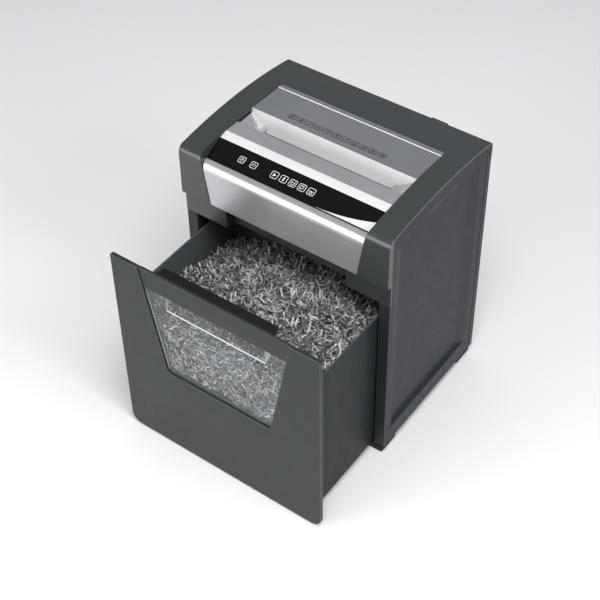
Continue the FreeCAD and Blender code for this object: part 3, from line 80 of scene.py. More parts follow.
# ---------------------------------------------------------------- finishes
class Graph:
    """Node tree of one material, with short calls for the nodes that the finishes use."""

    def __init__(self, name: str) -> None:
        """Start a material with its shader and its Object coordinates.

        Args:
            name: name of the material.
        """
        self.material = bpy.data.materials.new(name)
        self.material.use_nodes = True
        self.tree = self.material.node_tree
        self.shader = self.tree.nodes["Principled BSDF"]
        self.place = self.tree.nodes.new("ShaderNodeTexCoord").outputs["Object"]

    def add(self, kind: str, **settings: object) -> bpy.types.Node:
        """Add a node and set its plain properties.

        Args:
            kind: the node's type name.
            settings: property names and values.

        Returns:
            The new node.
        """
        node = self.tree.nodes.new(kind)
        for key, value in settings.items():
            setattr(node, key, value)
        return node

    def feed(self, socket: bpy.types.NodeSocket, value: object) -> None:
        """Link a socket to another, or set it to a constant.

        Args:
            socket: the input to fill.
            value: an output socket, or a number or colour.
        """
        if isinstance(value, bpy.types.NodeSocket):
            self.tree.links.new(value, socket)
        elif isinstance(value, tuple) and len(value) == 3 and socket.type == "RGBA":
            socket.default_value = (*value, 1.0)
        else:
            socket.default_value = value

    def stretched(self, scale: Sequence[float]) -> bpy.types.NodeSocket:
        """Object coordinates scaled by a different amount along each axis.

        Args:
            scale: the three factors.

        Returns:
            The mapped coordinates.
        """
        mapping = self.add("ShaderNodeMapping")
        self.feed(mapping.inputs["Vector"], self.place)
        mapping.inputs["Scale"].default_value = scale
        return mapping.outputs["Vector"]

    def noise(self, scale: float, detail: float = 2.0,
              place: bpy.types.NodeSocket | None = None) -> bpy.types.NodeSocket:
        """Noise of about 0 to 1.

        Args:
            scale: features per metre.
            detail: octaves.
            place: coordinates, or None for plain Object coordinates.

        Returns:
            The noise value.
        """
        node = self.add("ShaderNodeTexNoise")
        self.feed(node.inputs["Vector"], place or self.place)
        node.inputs["Scale"].default_value = scale
        node.inputs["Detail"].default_value = detail
        return node.outputs["Fac"]

    def ranged(self, value: bpy.types.NodeSocket, low: float, high: float,
               start: float = 0.3, end: float = 0.7) -> bpy.types.NodeSocket:
        """Map a value from start..end to low..high, clamped.

        Args:
            value: what is mapped.
            low: result at start.
            high: result at end.
            start: lower input.
            end: upper input.

        Returns:
            The mapped value.
        """
        node = self.add("ShaderNodeMapRange")
        self.feed(node.inputs["Value"], value)
        node.inputs["From Min"].default_value = start
        node.inputs["From Max"].default_value = end
        node.inputs["To Min"].default_value = low
        node.inputs["To Max"].default_value = high
        return node.outputs["Result"]

    def mix(self, share: object, first: object, second: object) -> bpy.types.NodeSocket:
        """Blend two colours.

        Args:
            share: 0 for first, 1 for second.
            first: a colour or a socket.
            second: a colour or a socket.

        Returns:
            The blended colour.
        """
        node = self.add("ShaderNodeMix", data_type="RGBA")
        self.feed(node.inputs[0], share)
        self.feed(node.inputs[6], first)
        self.feed(node.inputs[7], second)
        return node.outputs[2]

    def sums(self, operation: str, first: object, second: object) -> bpy.types.NodeSocket:
        """One arithmetic step.

        Args:
            operation: name of the Math node's operation.
            first: a number or a socket.
            second: a number or a socket.

        Returns:
            The result.
        """
        node = self.add("ShaderNodeMath", operation=operation)
        self.feed(node.inputs[0], first)
        self.feed(node.inputs[1], second)
        return node.outputs[0]

    def attribute(self, name: str) -> bpy.types.NodeSocket:
        """A number stored on the mesh, 0 where the mesh has none.

        Args:
            name: name of the attribute.

        Returns:
            The stored number.
        """
        return self.add("ShaderNodeAttribute", attribute_name=name).outputs["Fac"]

    def bump(self, height: bpy.types.NodeSocket, depth: float, strength: float = 1.0) -> None:
        """Give the shader a bump.

        Args:
            height: height, 0 to 1.
            depth: depth of the relief in metres.
            strength: share of it that shows.
        """
        node = self.add("ShaderNodeBump")
        node.inputs["Strength"].default_value = strength
        node.inputs["Distance"].default_value = depth
        self.feed(node.inputs["Height"], height)
        self.feed(self.shader.inputs["Normal"], node.outputs["Normal"])

    def set(self, **values: object) -> None:
        """Fill shader inputs by name.

        Args:
            values: numbers, colours or sockets, with underscores for the spaces of an input's name.
        """
        for key, value in values.items():
            self.feed(self.shader.inputs[key.replace("_", " ")], value)


def scaled(colour: Colour, factor: float) -> Colour:
    """A colour made lighter or darker.

    Args:
        colour: the colour.
        factor: above 1 for lighter, under 1 for darker.

    Returns:
        The new colour, with no channel over 1.
    """
    return tuple(min(channel * factor, 1.0) for channel in colour)


class Finish(Protocol):
    """What every finish offers."""

    name: str

    def build(self) -> bpy.types.Material:
        """Make the material.

        Returns:
            The new material.
        """


@dataclass(frozen=True)
class Moulded:
    """Moulded plastic: eroded grain, faint mottling, and edges lightened partly by handling, partly
    as a painted highlight.
    """

    name: str
    colour: Colour
    roughness: float = 0.45
    grain: float = 1500.0
    relief: float = 0.00003
    mottle: float = 0.07
    edge_lift: float = 0.5
    metallic: float = 0.0
    shine: float = 0.5
    cloud: float = 7.0
    scuff: float = 260.0
    smear: float = 60.0
    spread: float = 0.04
    wear_and_sheen: float = 4.5
    polish: float = 0.12

    def build(self) -> bpy.types.Material:
        """Make the material.

        Returns:
            The new material.
        """
        graph = Graph(self.name)
        cloud = graph.noise(self.cloud, 5.0)
        base = graph.mix(cloud, scaled(self.colour, 1 - self.mottle),
                         scaled(self.colour, 1 + self.mottle))
        # Faces marked in the edge attribute are lightened towards a pale copy of the colour: partly
        # wear, partly a painted highlight on the roundings.
        edge_lightening = graph.sums("MULTIPLY", graph.attribute(WEAR_AND_HIGHLIGHT), self.edge_lift)
        scuffs = graph.ranged(graph.noise(self.scuff, 3.0), 0.55, 1.0)
        wear_and_sheen = graph.sums("MULTIPLY", edge_lightening, scuffs)
        rough = graph.ranged(graph.noise(self.smear, 3.0), self.roughness - self.spread,
                             self.roughness + self.spread)
        polished = graph.sums("MULTIPLY", edge_lightening, self.polish)
        graph.set(Base_Color=graph.mix(wear_and_sheen, base, scaled(self.colour, self.wear_and_sheen)),
                  Roughness=graph.sums("SUBTRACT", rough, polished),
                  Metallic=self.metallic, Specular_IOR_Level=self.shine)
        if self.relief:
            graph.bump(graph.noise(self.grain, 2.0), self.relief, 0.6)
        return graph.material


@dataclass(frozen=True)
class SilverPaint:
    """Satin silver paint with fine flakes under a thin clear coat."""

    name: str
    colour: Colour
    roughness: float = 0.3
    metallic: float = 0.75
    flake: float = 1600.0
    cloud: float = 9.0
    smear: float = 40.0
    coat: float = 0.15
    coat_roughness: float = 0.12

    def build(self) -> bpy.types.Material:
        """Make the material.

        Returns:
            The new material.
        """
        graph = Graph(self.name)
        flakes = graph.add("ShaderNodeTexVoronoi")
        graph.feed(flakes.inputs["Vector"], graph.place)
        flakes.inputs["Scale"].default_value = self.flake
        spark = graph.ranged(flakes.outputs["Distance"], 0.98, 1.02, 0.0, 1.0)
        cloud = graph.ranged(graph.noise(self.cloud, 3.0), 0.96, 1.04)
        tone = graph.sums("SUBTRACT", graph.sums("MULTIPLY", spark, cloud), 0.5)
        rough = graph.ranged(graph.noise(self.smear, 4.0), self.roughness - 0.03,
                             self.roughness + 0.04)
        graph.set(Base_Color=graph.mix(tone, scaled(self.colour, 0.5), scaled(self.colour, 1.5)),
                  Metallic=self.metallic, Roughness=rough,
                  Coat_Weight=self.coat, Coat_Roughness=self.coat_roughness)
        return graph.material


class Grain(Enum):
    """Direction of a metal's brushed or turned marks, as stretch factors per axis."""

    ALONG_X = (0.03, 1.0, 1.0)
    ALONG_Y = (1.0, 0.03, 1.0)
    ALONG_Z = (1.0, 1.0, 0.03)
    NONE = (1.0, 1.0, 1.0)


@dataclass(frozen=True)
class Metal:
    """Bare or plated metal with directional marks and a film of dust or oil."""

    name: str
    colour: Colour
    roughness: float = 0.32
    grain: Grain = Grain.NONE
    marks: float = 900.0
    dust: float = 0.15
    dust_colour: Colour = (0.3, 0.29, 0.27)

    def build(self) -> bpy.types.Material:
        """Make the material.

        Returns:
            The new material.
        """
        graph = Graph(self.name)
        lines = graph.noise(self.marks, 3.0, graph.stretched(self.grain.value))
        film = graph.ranged(graph.noise(35.0, 4.0), 0.0, self.dust)
        bright = graph.mix(lines, scaled(self.colour, 0.75), scaled(self.colour, 1.2))
        rough = graph.ranged(lines, self.roughness - 0.06, self.roughness + 0.1)
        graph.set(Base_Color=graph.mix(film, bright, self.dust_colour), Metallic=1.0,
                  Roughness=graph.sums("ADD", rough, film))
        graph.bump(lines, 0.00002, 0.5)
        return graph.material


@dataclass(frozen=True)
class ClearPlastic:
    """Clear sheet, a little hazy, with faint scuffs and static dust."""

    name: str
    colour: Colour = (0.50, 0.53, 0.54)
    cover: float = 0.08
    haze: float = 0.06

    def build(self) -> bpy.types.Material:
        """Make the material.

        Returns:
            The new material.
        """
        graph = Graph(self.name)
        dust = graph.ranged(graph.noise(420.0, 4.0), 0.0, 0.05, 0.55, 0.8)
        veil = graph.ranged(graph.noise(11.0, 3.0), self.cover - 0.02, self.cover + 0.03)
        # Faces marked in the edge attribute get more cover: a painted highlight on the sheet's
        # rounded edges.
        edge = graph.sums("MULTIPLY", graph.attribute(WEAR_AND_HIGHLIGHT), 0.6)
        cover = graph.sums("ADD", graph.sums("ADD", veil, dust), edge)
        rough = graph.ranged(graph.noise(90.0, 3.0), self.haze, self.haze + 0.12)
        graph.set(Base_Color=self.colour, Alpha=cover, Roughness=rough, IOR=1.49,
                  Specular_IOR_Level=0.4)
        graph.bump(graph.noise(18.0, 2.0), 0.0004, 0.2)
        return graph.material


@dataclass(frozen=True)
class Paper:
    """Copier paper: fibres, soft tone from strip to strip, painted shade on buried strips, and flecks
    of print.
    """

    name: str
    light: Colour = (0.80, 0.81, 0.82)
    dark: Colour = (0.035, 0.038, 0.041)
    print_share: float = 0.35

    def build(self) -> bpy.types.Material:
        """Make the material.

        Returns:
            The new material.
        """
        graph = Graph(self.name)
        tone = graph.attribute(TONE_AND_SHADE)
        flecks = graph.ranged(graph.noise(650.0, 1.0), 0.0, self.print_share, 0.58, 0.66)
        body = graph.mix(tone, self.dark, self.light)
        graph.set(Base_Color=graph.mix(flecks, body, self.dark), Roughness=0.85,
                  Specular_IOR_Level=0.25)
        graph.bump(graph.noise(1900.0, 3.0), 0.00003, 0.6)
        return graph.material


@dataclass(frozen=True)
class Board:
    """Circuit board: solder resist over a weave of copper runs."""

    name: str
    colour: Colour = (0.02, 0.13, 0.05)
    track_colour: Colour = (0.25, 0.33, 0.08)

    def build(self) -> bpy.types.Material:
        """Make the material.

        Returns:
            The new material.
        """
        graph = Graph(self.name)
        runs = graph.add("ShaderNodeTexBrick")
        graph.feed(runs.inputs["Vector"], graph.place)
        runs.inputs["Scale"].default_value = 180.0
        copper = graph.ranged(graph.noise(90.0, 1.0), 0.0, 0.8, 0.5, 0.52)
        tracks = graph.sums("MULTIPLY", runs.outputs["Fac"], copper)
        graph.set(Base_Color=graph.mix(tracks, self.colour, self.track_colour), Roughness=0.3)
        graph.bump(tracks, 0.00005, 0.5)
        return graph.material


@dataclass(frozen=True)
class Printed:
    """Screen-printed ink, a little uneven."""

    name: str
    colour: Colour

    def build(self) -> bpy.types.Material:
        """Make the material.

        Returns:
            The new material.
        """
        graph = Graph(self.name)
        ink = graph.noise(1400.0, 2.0)
        graph.set(Base_Color=graph.mix(ink, scaled(self.colour, 0.88), scaled(self.colour, 1.05)),
                  Roughness=graph.ranged(ink, 0.45, 0.6), Specular_IOR_Level=0.15)
        return graph.material


# The shell's high edge lift paints a highlight on its rounded edges and shoulders.
SHELL = Moulded("shell_grain", (0.038, 0.043, 0.044), roughness=0.33, mottle=0.02, edge_lift=1.2,
                metallic=0.2, shine=0.75)
FACE = Moulded("bin_face_grain", (0.027, 0.031, 0.032), roughness=0.40, mottle=0.02, edge_lift=0.5,
               shine=0.22)
WALL = Moulded("wall_grain", (0.024, 0.028, 0.030), roughness=0.40, mottle=0.02, edge_lift=1.0,
               shine=0.15)
PANEL = Moulded("panel_satin", (0.021, 0.025, 0.033), roughness=0.36, relief=0.0, mottle=0.02,
                edge_lift=0.2, shine=0.1)
BLACK = Moulded("black_grain", (0.006, 0.007, 0.008), roughness=0.5, edge_lift=0.35, shine=0.2)
TUB = Moulded("tub_grain", (0.020, 0.024, 0.026), roughness=0.42, mottle=0.02, edge_lift=0.35,
              shine=0.08)
# A lighter copy of the tub's plastic for its inside faces: painted light.
TUB_INSIDE_LIT = Moulded("tub_inside_painted_light", (0.075, 0.083, 0.087), roughness=0.42, mottle=0.02, edge_lift=0.2,
                 shine=0.3)
RUBBER = Moulded("foot_rubber", (0.008, 0.008, 0.008), roughness=0.75, grain=700.0, relief=0.00008)
SILVER = SilverPaint("silver_paint", (0.50, 0.51, 0.52), roughness=0.30)
# A darker copy of the silver paint, for the rear deck: painted shade.
SHADED_SILVER = SilverPaint("silver_painted_shade", (0.32, 0.33, 0.34), roughness=0.32)
# Near-white silver: a painted highlight on the front deck's bevel, the rear deck's back strip and the
# throat's rear wall, and the swoosh trim's own pale silver.
PALE_SILVER_AND_HIGHLIGHT = SilverPaint("pale_silver_and_painted_highlight", (0.94, 0.95, 0.96), roughness=0.30, metallic=0.1)
GLOSS = Moulded("fascia_gloss", (0.002, 0.002, 0.003), roughness=0.12, relief=0.0, shine=0.22)
LENS = Moulded("lens_smoke", (0.004, 0.004, 0.005), roughness=0.12, relief=0.0, shine=0.22)
NYLON = Moulded("gear_nylon", (0.70, 0.68, 0.62), roughness=0.4, edge_lift=0.1)
WINDOW = ClearPlastic("window_clear")
# Pale, half-clear finish for the bead on the scoop's lip: a painted highlight.
LIP_HIGHLIGHT = ClearPlastic("lip_painted_highlight", (0.85, 0.87, 0.88), cover=0.5)
# Pale, denser clear finish for the window's rim faces: a painted highlight.
WINDOW_EDGE_HIGHLIGHT = ClearPlastic("window_edge", (0.85, 0.88, 0.89), cover=0.5)
SHREDS = Paper("paper_strips")
GREEN = Board("board_green")
PLATE = Metal("zinc_plate", (0.56, 0.56, 0.57), grain=Grain.ALONG_Y)
CUTTER = Metal("oiled_cutter", (0.34, 0.34, 0.35), roughness=0.26, dust=0.3)
GEAR = Metal("sintered_gear", (0.42, 0.42, 0.43), roughness=0.42)
BRASS = Metal("bush_brass", (0.62, 0.44, 0.2), roughness=0.3)
MOTOR = Metal("motor_can", (0.35, 0.36, 0.37), roughness=0.4, grain=Grain.ALONG_X)
SCREW = Metal("black_zinc", (0.07, 0.07, 0.075), roughness=0.35)
WHITE_INK = Printed("white_legend", (0.86, 0.87, 0.88))
DARK_INK = Printed("dark_marks", (0.006, 0.006, 0.007))


@cache
def material_of(finish: Finish) -> bpy.types.Material:
    """The finish's material, made once.

    Args:
        finish: one of the finishes above.

    Returns:
        The shared material.
    """
    return finish.build()


# ---------------------------------------------------------------- pieces
BODIES = frame["record"]["behaviour"]["bodies"]
BODY_OF = {node: body for body, nodes in BODIES.items() for node in nodes}
SLOT_OF = {part["node"]: part["material_slot"] for part in frame["record"]["subparts"]}


def open_mesh(node: str) -> bmesh.types.BMesh:
    """A clean working copy of a CAD node's mesh: merged, and flat faces joined up.

    Args:
        node: the CAD node.

    Returns:
        A new bmesh, for the caller to free.
    """
    work = bmesh.new()
    work.from_mesh(frame["nodes"][node].data)
    bmesh.ops.remove_doubles(work, verts=work.verts, dist=MERGE_DISTANCE)
    bmesh.ops.dissolve_limit(work, angle_limit=FLAT_ANGLE, verts=work.verts, edges=work.edges)
    bmesh.ops.recalc_face_normals(work, faces=work.faces)
    return work


def round_edges(work: bmesh.types.BMesh, radius: float, segments: int,
                chosen: Callable[[bmesh.types.BMEdge], bool], edge_lightening: float = 1.0) -> None:
    """Round some of the edges, and mark the new faces for lightening: partly wear, partly a painted
    highlight.

    Args:
        work: the mesh.
        radius: width taken off each side.
        segments: faces across the rounding.
        chosen: whether an edge is rounded.
        edge_lightening: how much the new faces are lightened, partly as wear and partly as a painted
            highlight.
    """
    layer = work.faces.layers.float.get(WEAR_AND_HIGHLIGHT) or work.faces.layers.float.new(WEAR_AND_HIGHLIGHT)
    edges = [edge for edge in work.edges if len(edge.link_faces) == 2 and chosen(edge)]
    made = bmesh.ops.bevel(work, geom=edges, offset=radius, offset_type="OFFSET", segments=segments,
                           profile=0.5, affect="EDGES", material=-1, clamp_overlap=True)
    for face in made["faces"]:
        face[layer] = edge_lightening


def is_sharp(edge: bmesh.types.BMEdge) -> bool:
    """Whether an edge is a corner of the shape and not part of a curve.

    Args:
        edge: an edge between two faces.

    Returns:
        True for a corner.
    """
    return edge.calc_face_angle(0.0) > SHARP_ANGLE


@cache
def surface_of(*nodes: str) -> BVHTree:
    """A search tree over the faces of some CAD nodes, for ray casts.

    Args:
        nodes: the CAD nodes.

    Returns:
        The tree.
    """
    work = bmesh.new()
    for node in nodes:
        work.from_mesh(frame["nodes"][node].data)
    tree = BVHTree.FromBMesh(work)
    work.free()
    return tree


def thicken(work: bmesh.types.BMesh, faces: list[bmesh.types.BMFace],
            depth: float) -> list[bmesh.types.BMVert]:
    """Extrude flat faces straight up.

    Args:
        work: the mesh.
        faces: the flat faces.
        depth: how far they are raised.

    Returns:
        The raised vertices.
    """
    grown = bmesh.ops.extrude_face_region(work, geom=faces)
    raised = [item for item in grown["geom"] if isinstance(item, bmesh.types.BMVert)]
    bmesh.ops.translate(work, vec=Vector((0.0, 0.0, depth)), verts=raised)
    return raised


def add_object(name: str, data: bpy.types.ID) -> bpy.types.Object:
    """Put an object into the scene, at the origin.

    Args:
        name: its name.
        data: its mesh, camera or light.

    Returns:
        The new object.
    """
    made = bpy.data.objects.new(name, data)
    bpy.context.scene.collection.objects.link(made)
    return made


def close_mesh(work: bmesh.types.BMesh, name: str) -> bpy.types.Object:
    """Turn a working mesh into a smooth-shaded object at the origin.

    Args:
        work: the mesh, which is freed.
        name: name of the object.

    Returns:
        The new object.
    """
    for face in work.faces:
        face.smooth = True
    for edge in work.edges:
        edge.smooth = not (len(edge.link_faces) == 2 and is_sharp(edge))
    mesh = bpy.data.meshes.new(name)
    work.to_mesh(mesh)
    work.free()
    return add_object(name, mesh)


def place_piece(piece: bpy.types.Object, finish: Finish, body: str,
                nodes: Iterable[str] = ()) -> bpy.types.Object:
    """Give a new piece its finish, its body and the CAD nodes that it stands for.

    Args:
        piece: the object.
        finish: its finish.
        body: the CAD body that it rides on.
        nodes: CAD nodes that it replaces.

    Returns:
        The same object.
    """
    piece.data.materials.clear()
    piece.data.materials.append(material_of(finish))
    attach(piece, body)
    if nodes:
        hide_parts(*nodes)
    LOG.info("%s: %d faces on %s", piece.name, len(piece.data.polygons), body)
    return piece


def even_shading(piece: bpy.types.Object) -> None:
    """Let the large faces set the shading, so that roundings stay crisp.

    Args:
        piece: the object.
    """
    shade = piece.modifiers.new("even_shading", "WEIGHTED_NORMAL")
    shade.keep_sharp = True
    shade.weight = SHADE_WEIGHT


@dataclass
class SubAssembly:
    """A group of neighbouring pieces, with the steps that they all need."""

    def soften(self, node: str, finish: Finish, radius: float, segments: int = 2,
               first: Callable[[bmesh.types.BMesh], None] | None = None) -> bpy.types.Object:
        """Replace a CAD node by the same shape with rounded edges.

        Args:
            node: the CAD node.
            finish: the piece's finish.
            radius: rounding of its sharp edges.
            segments: faces across a rounding.
            first: a step done before the general rounding.

        Returns:
            The new piece.
        """
        work = open_mesh(node)
        if first:
            first(work)
        round_edges(work, radius, segments, is_sharp)
        piece = close_mesh(work, node + "_moulding")
        even_shading(piece)
        return place_piece(piece, finish, BODY_OF[node], [node])

    def dress(self, node: str, finish: Finish) -> None:
        """Give a CAD node that stays as it is a finish.

        Args:
            node: the CAD node.
            finish: its finish.
        """
        piece = frame["nodes"][node]
        piece.data.materials.clear()
        piece.data.materials.append(material_of(finish))
        LOG.info("%s keeps its CAD shape", node)


# ---------------------------------------------------------------- studio
@dataclass(frozen=True)
class Softbox:
    """Rectangular soft light: where it hangs, what it faces, its width and height, and its watts."""

    name: str
    place: tuple[float, float, float]
    aim: tuple[float, float, float]
    size: Span
    power: float


@dataclass
class Studio:
    """Camera, lights and floor. The camera's stand is measured from the middle of the front face."""

    stand: tuple[float, float, float] = (0.8908, -1.1669, 1.7392)
    azimuth: float = 36.28
    elevation: float = 42.97
    roll: float = -0.93
    lens: float = 82.4
    sensor: float = 36.0
    rise: float = -0.1
    floor_size: float = 14.0
    floor_dark: Colour = (0.93, 0.93, 0.93)
    floor_light: Colour = (0.95, 0.95, 0.95)
    sky: Colour = (0.93, 0.95, 1.0)
    sky_strength: float = 0.34
    exposure: float = 0.35
    lights: tuple[Softbox, ...] = (
        Softbox("overhead", (0.7, -0.7, 2.3), (0.0, 0.0, 0.3), (1.0, 0.9), 24.0),
        Softbox("front_fill", (-1.1, -2.6, 0.9), (0.0, -0.2, 0.25), (1.6, 1.6), 34.0),
        Softbox("right_rim", (2.0, -0.3, 1.9), (0.0, -0.05, 0.3), (0.7, 0.9), 14.0),
    )

    def build(self) -> None:
        """Make the camera, the floor, the lights and the sky."""
        self.make_camera()
        self.make_floor()
        for box in self.lights:
            self.make_light(box)
        world = bpy.data.worlds.new("studio_sky")
        world.use_nodes = True
        background = world.node_tree.nodes["Background"]
        background.inputs["Color"].default_value = (*self.sky, 1.0)
        background.inputs["Strength"].default_value = self.sky_strength
        bpy.context.scene.world = world
        bpy.context.scene.view_settings.view_transform = "Standard"
        bpy.context.scene.view_settings.exposure = self.exposure

    def make_camera(self) -> None:
        """Stand the camera where it sees the object from above its right front corner."""
        turn = math.radians(self.azimuth)
        tilt = math.radians(self.elevation)
        ahead = Vector((-math.sin(turn) * math.cos(tilt), math.cos(turn) * math.cos(tilt),
                        -math.sin(tilt)))
        level = Vector((math.cos(turn), math.sin(turn), 0.0))
        upright = level.cross(ahead)
        lean = math.radians(self.roll)
        across = level * math.cos(lean) + upright * math.sin(lean)
        up = upright * math.cos(lean) - level * math.sin(lean)
        data = bpy.data.cameras.new("camera")
        data.lens = self.lens
        data.sensor_width = self.sensor
        data.shift_y = self.rise
        camera = add_object("camera", data)
        axes = Matrix((across, up, -ahead)).transposed()
        front = Vector((0.0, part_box("top_shell")[0].y, 0.0))
        camera.matrix_world = Matrix.Translation(front + Vector(self.stand)) @ axes.to_4x4()
        bpy.context.scene.camera = camera

    def make_floor(self) -> None:
        """A plain pale floor."""
        work = bmesh.new()
        bmesh.ops.create_grid(work, x_segments=1, y_segments=1, size=self.floor_size / 2)
        floor = close_mesh(work, "floor")
        graph = Graph("pale_floor")
        graph.set(Base_Color=graph.mix(graph.noise(2.0, 3.0), self.floor_dark, self.floor_light),
                  Roughness=0.6)
        floor.data.materials.append(graph.material)

    def make_light(self, box: Softbox) -> None:
        """Hang one soft light.

        Args:
            box: what it is and where it hangs.
        """
        data = bpy.data.lights.new(box.name, "AREA")
        data.shape = "RECTANGLE"
        data.size, data.size_y = box.size
        data.energy = box.power
        lamp = add_object(box.name, data)
        lamp.location = box.place
        lamp.rotation_mode = "QUATERNION"
        aim = Vector(box.aim) - Vector(box.place)
        lamp.rotation_quaternion = aim.to_track_quat("-Z", "Y")


# ---------------------------------------------------------------- cabinet
@dataclass
class Cabinet(SubAssembly):
    """Top shell, side walls, side panels, back, base and feet."""

    shell_edge: float = 2.4 * MM
    small_edge: float = 0.5 * MM
    thin_edge: float = 0.4 * MM
    panel_edge: float = 0.7 * MM
    foot_edge: float = 1.0 * MM
    side_slack: float = 0.3 * MM
    sill_top: float = 80.0 * MM
    level: float = 0.3
    outward: float = 0.3
    slanted: float = 0.1
    shoulder_highlight: float = 0.6

    def build(self) -> None:
        """Make every piece of the cabinet."""
        self.soften("top_shell", SHELL, self.small_edge, first=self.round_shoulders)
        for side in ("left", "right"):
            self.soften(side + "_side_wall", WALL, self.small_edge, first=self.highlight_sill)
            self.soften(side + "_side_panel", PANEL, self.panel_edge)
        self.soften("back_panel", WALL, self.thin_edge)
        self.soften("base_tray", BLACK, self.thin_edge)
        for feet in ("front_feet", "rear_feet"):
            self.soften(feet, RUBBER, self.foot_edge, 3)
        self.dress("bin_runners", BLACK)
        self.dress("back_screws", SCREW)

    def highlight_sill(self, work: bmesh.types.BMesh) -> None:
        """Lighten the upward-facing sill under the side panel through the edge attribute: a painted
        highlight.

        Args:
            work: the side wall's mesh.
        """
        layer = work.faces.layers.float.new(WEAR_AND_HIGHLIGHT)
        for face in work.faces:
            if face.normal.z > self.level and face.calc_center_median().z < self.sill_top:
                face[layer] = 1.0

    def round_shoulders(self, work: bmesh.types.BMesh) -> None:
        """Round the shell's long outer edges, over the dome and down the front, and mark them for a
        painted highlight bead.

        Args:
            work: the shell's mesh.
        """
        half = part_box("top_shell")[1].x

        def on_shoulder(edge: bmesh.types.BMEdge) -> bool:
            """Whether an edge is one of the long outer edges.

            Args:
                edge: one of the shell's edges.

            Returns:
                True for an edge between a side and the top or front.
            """
            if not all(abs(abs(vertex.co.x) - half) < self.side_slack for vertex in edge.verts):
                return False
            sideways = min(abs(face.normal.x) for face in edge.link_faces)
            facing = sum((face.normal for face in edge.link_faces), Vector())
            seen = facing.z > self.slanted or facing.y < -self.slanted
            return is_sharp(edge) and sideways < self.outward and seen

        # The rounded shoulders are lightened by the shell's finish: a painted highlight bead along
        # the outer edge.
        round_edges(work, self.shell_edge, 4, on_shoulder, self.shoulder_highlight)


# ---------------------------------------------------------------- silver insert
class Glyph(Enum):
    """Plain pictograms, each as strokes between points of a square 1 wide."""

    SLASH = (((-0.3, -0.3), (0.3, 0.3)),)
    CROSS = (((-0.3, -0.3), (0.3, 0.3)), ((-0.3, 0.3), (0.3, -0.3)))
    PAGE = (((-0.2, -0.3), (-0.2, 0.3), (0.1, 0.3), (0.22, 0.16), (0.22, -0.3), (-0.2, -0.3)),)
    BARS = (((-0.25, 0.2), (0.25, 0.2)), ((-0.25, 0.0), (0.25, 0.0)), ((-0.25, -0.2), (0.25, -0.2)))
    WAVE = (((-0.3, 0.0), (-0.15, 0.2), (0.0, 0.0), (0.15, -0.2), (0.3, 0.0)),)
    TEE = (((-0.3, 0.25), (0.3, 0.25)), ((0.0, 0.25), (0.0, -0.3)))
    STEM = (((0.0, 0.05), (0.0, 0.33)),)
    HEAT = (((-0.08, 0.3), (-0.08, -0.25), (0.08, -0.25), (0.08, 0.3), (-0.08, 0.3)),
            ((-0.02, -0.2), (0.02, 0.1)))
    TRAY = (((-0.28, 0.25), (-0.2, -0.28), (0.2, -0.28), (0.28, 0.25)), ((-0.12, 0.12), (0.12, 0.12)))
    DOOR = (((-0.25, -0.28), (-0.25, 0.28), (0.2, 0.28)), ((-0.25, -0.28), (0.2, -0.1), (0.2, 0.28)))
    TEETH = (((-0.28, 0.1), (-0.14, -0.12), (0.0, 0.1), (0.14, -0.12), (0.28, 0.1)),
             ((-0.28, -0.28), (0.28, -0.28)))


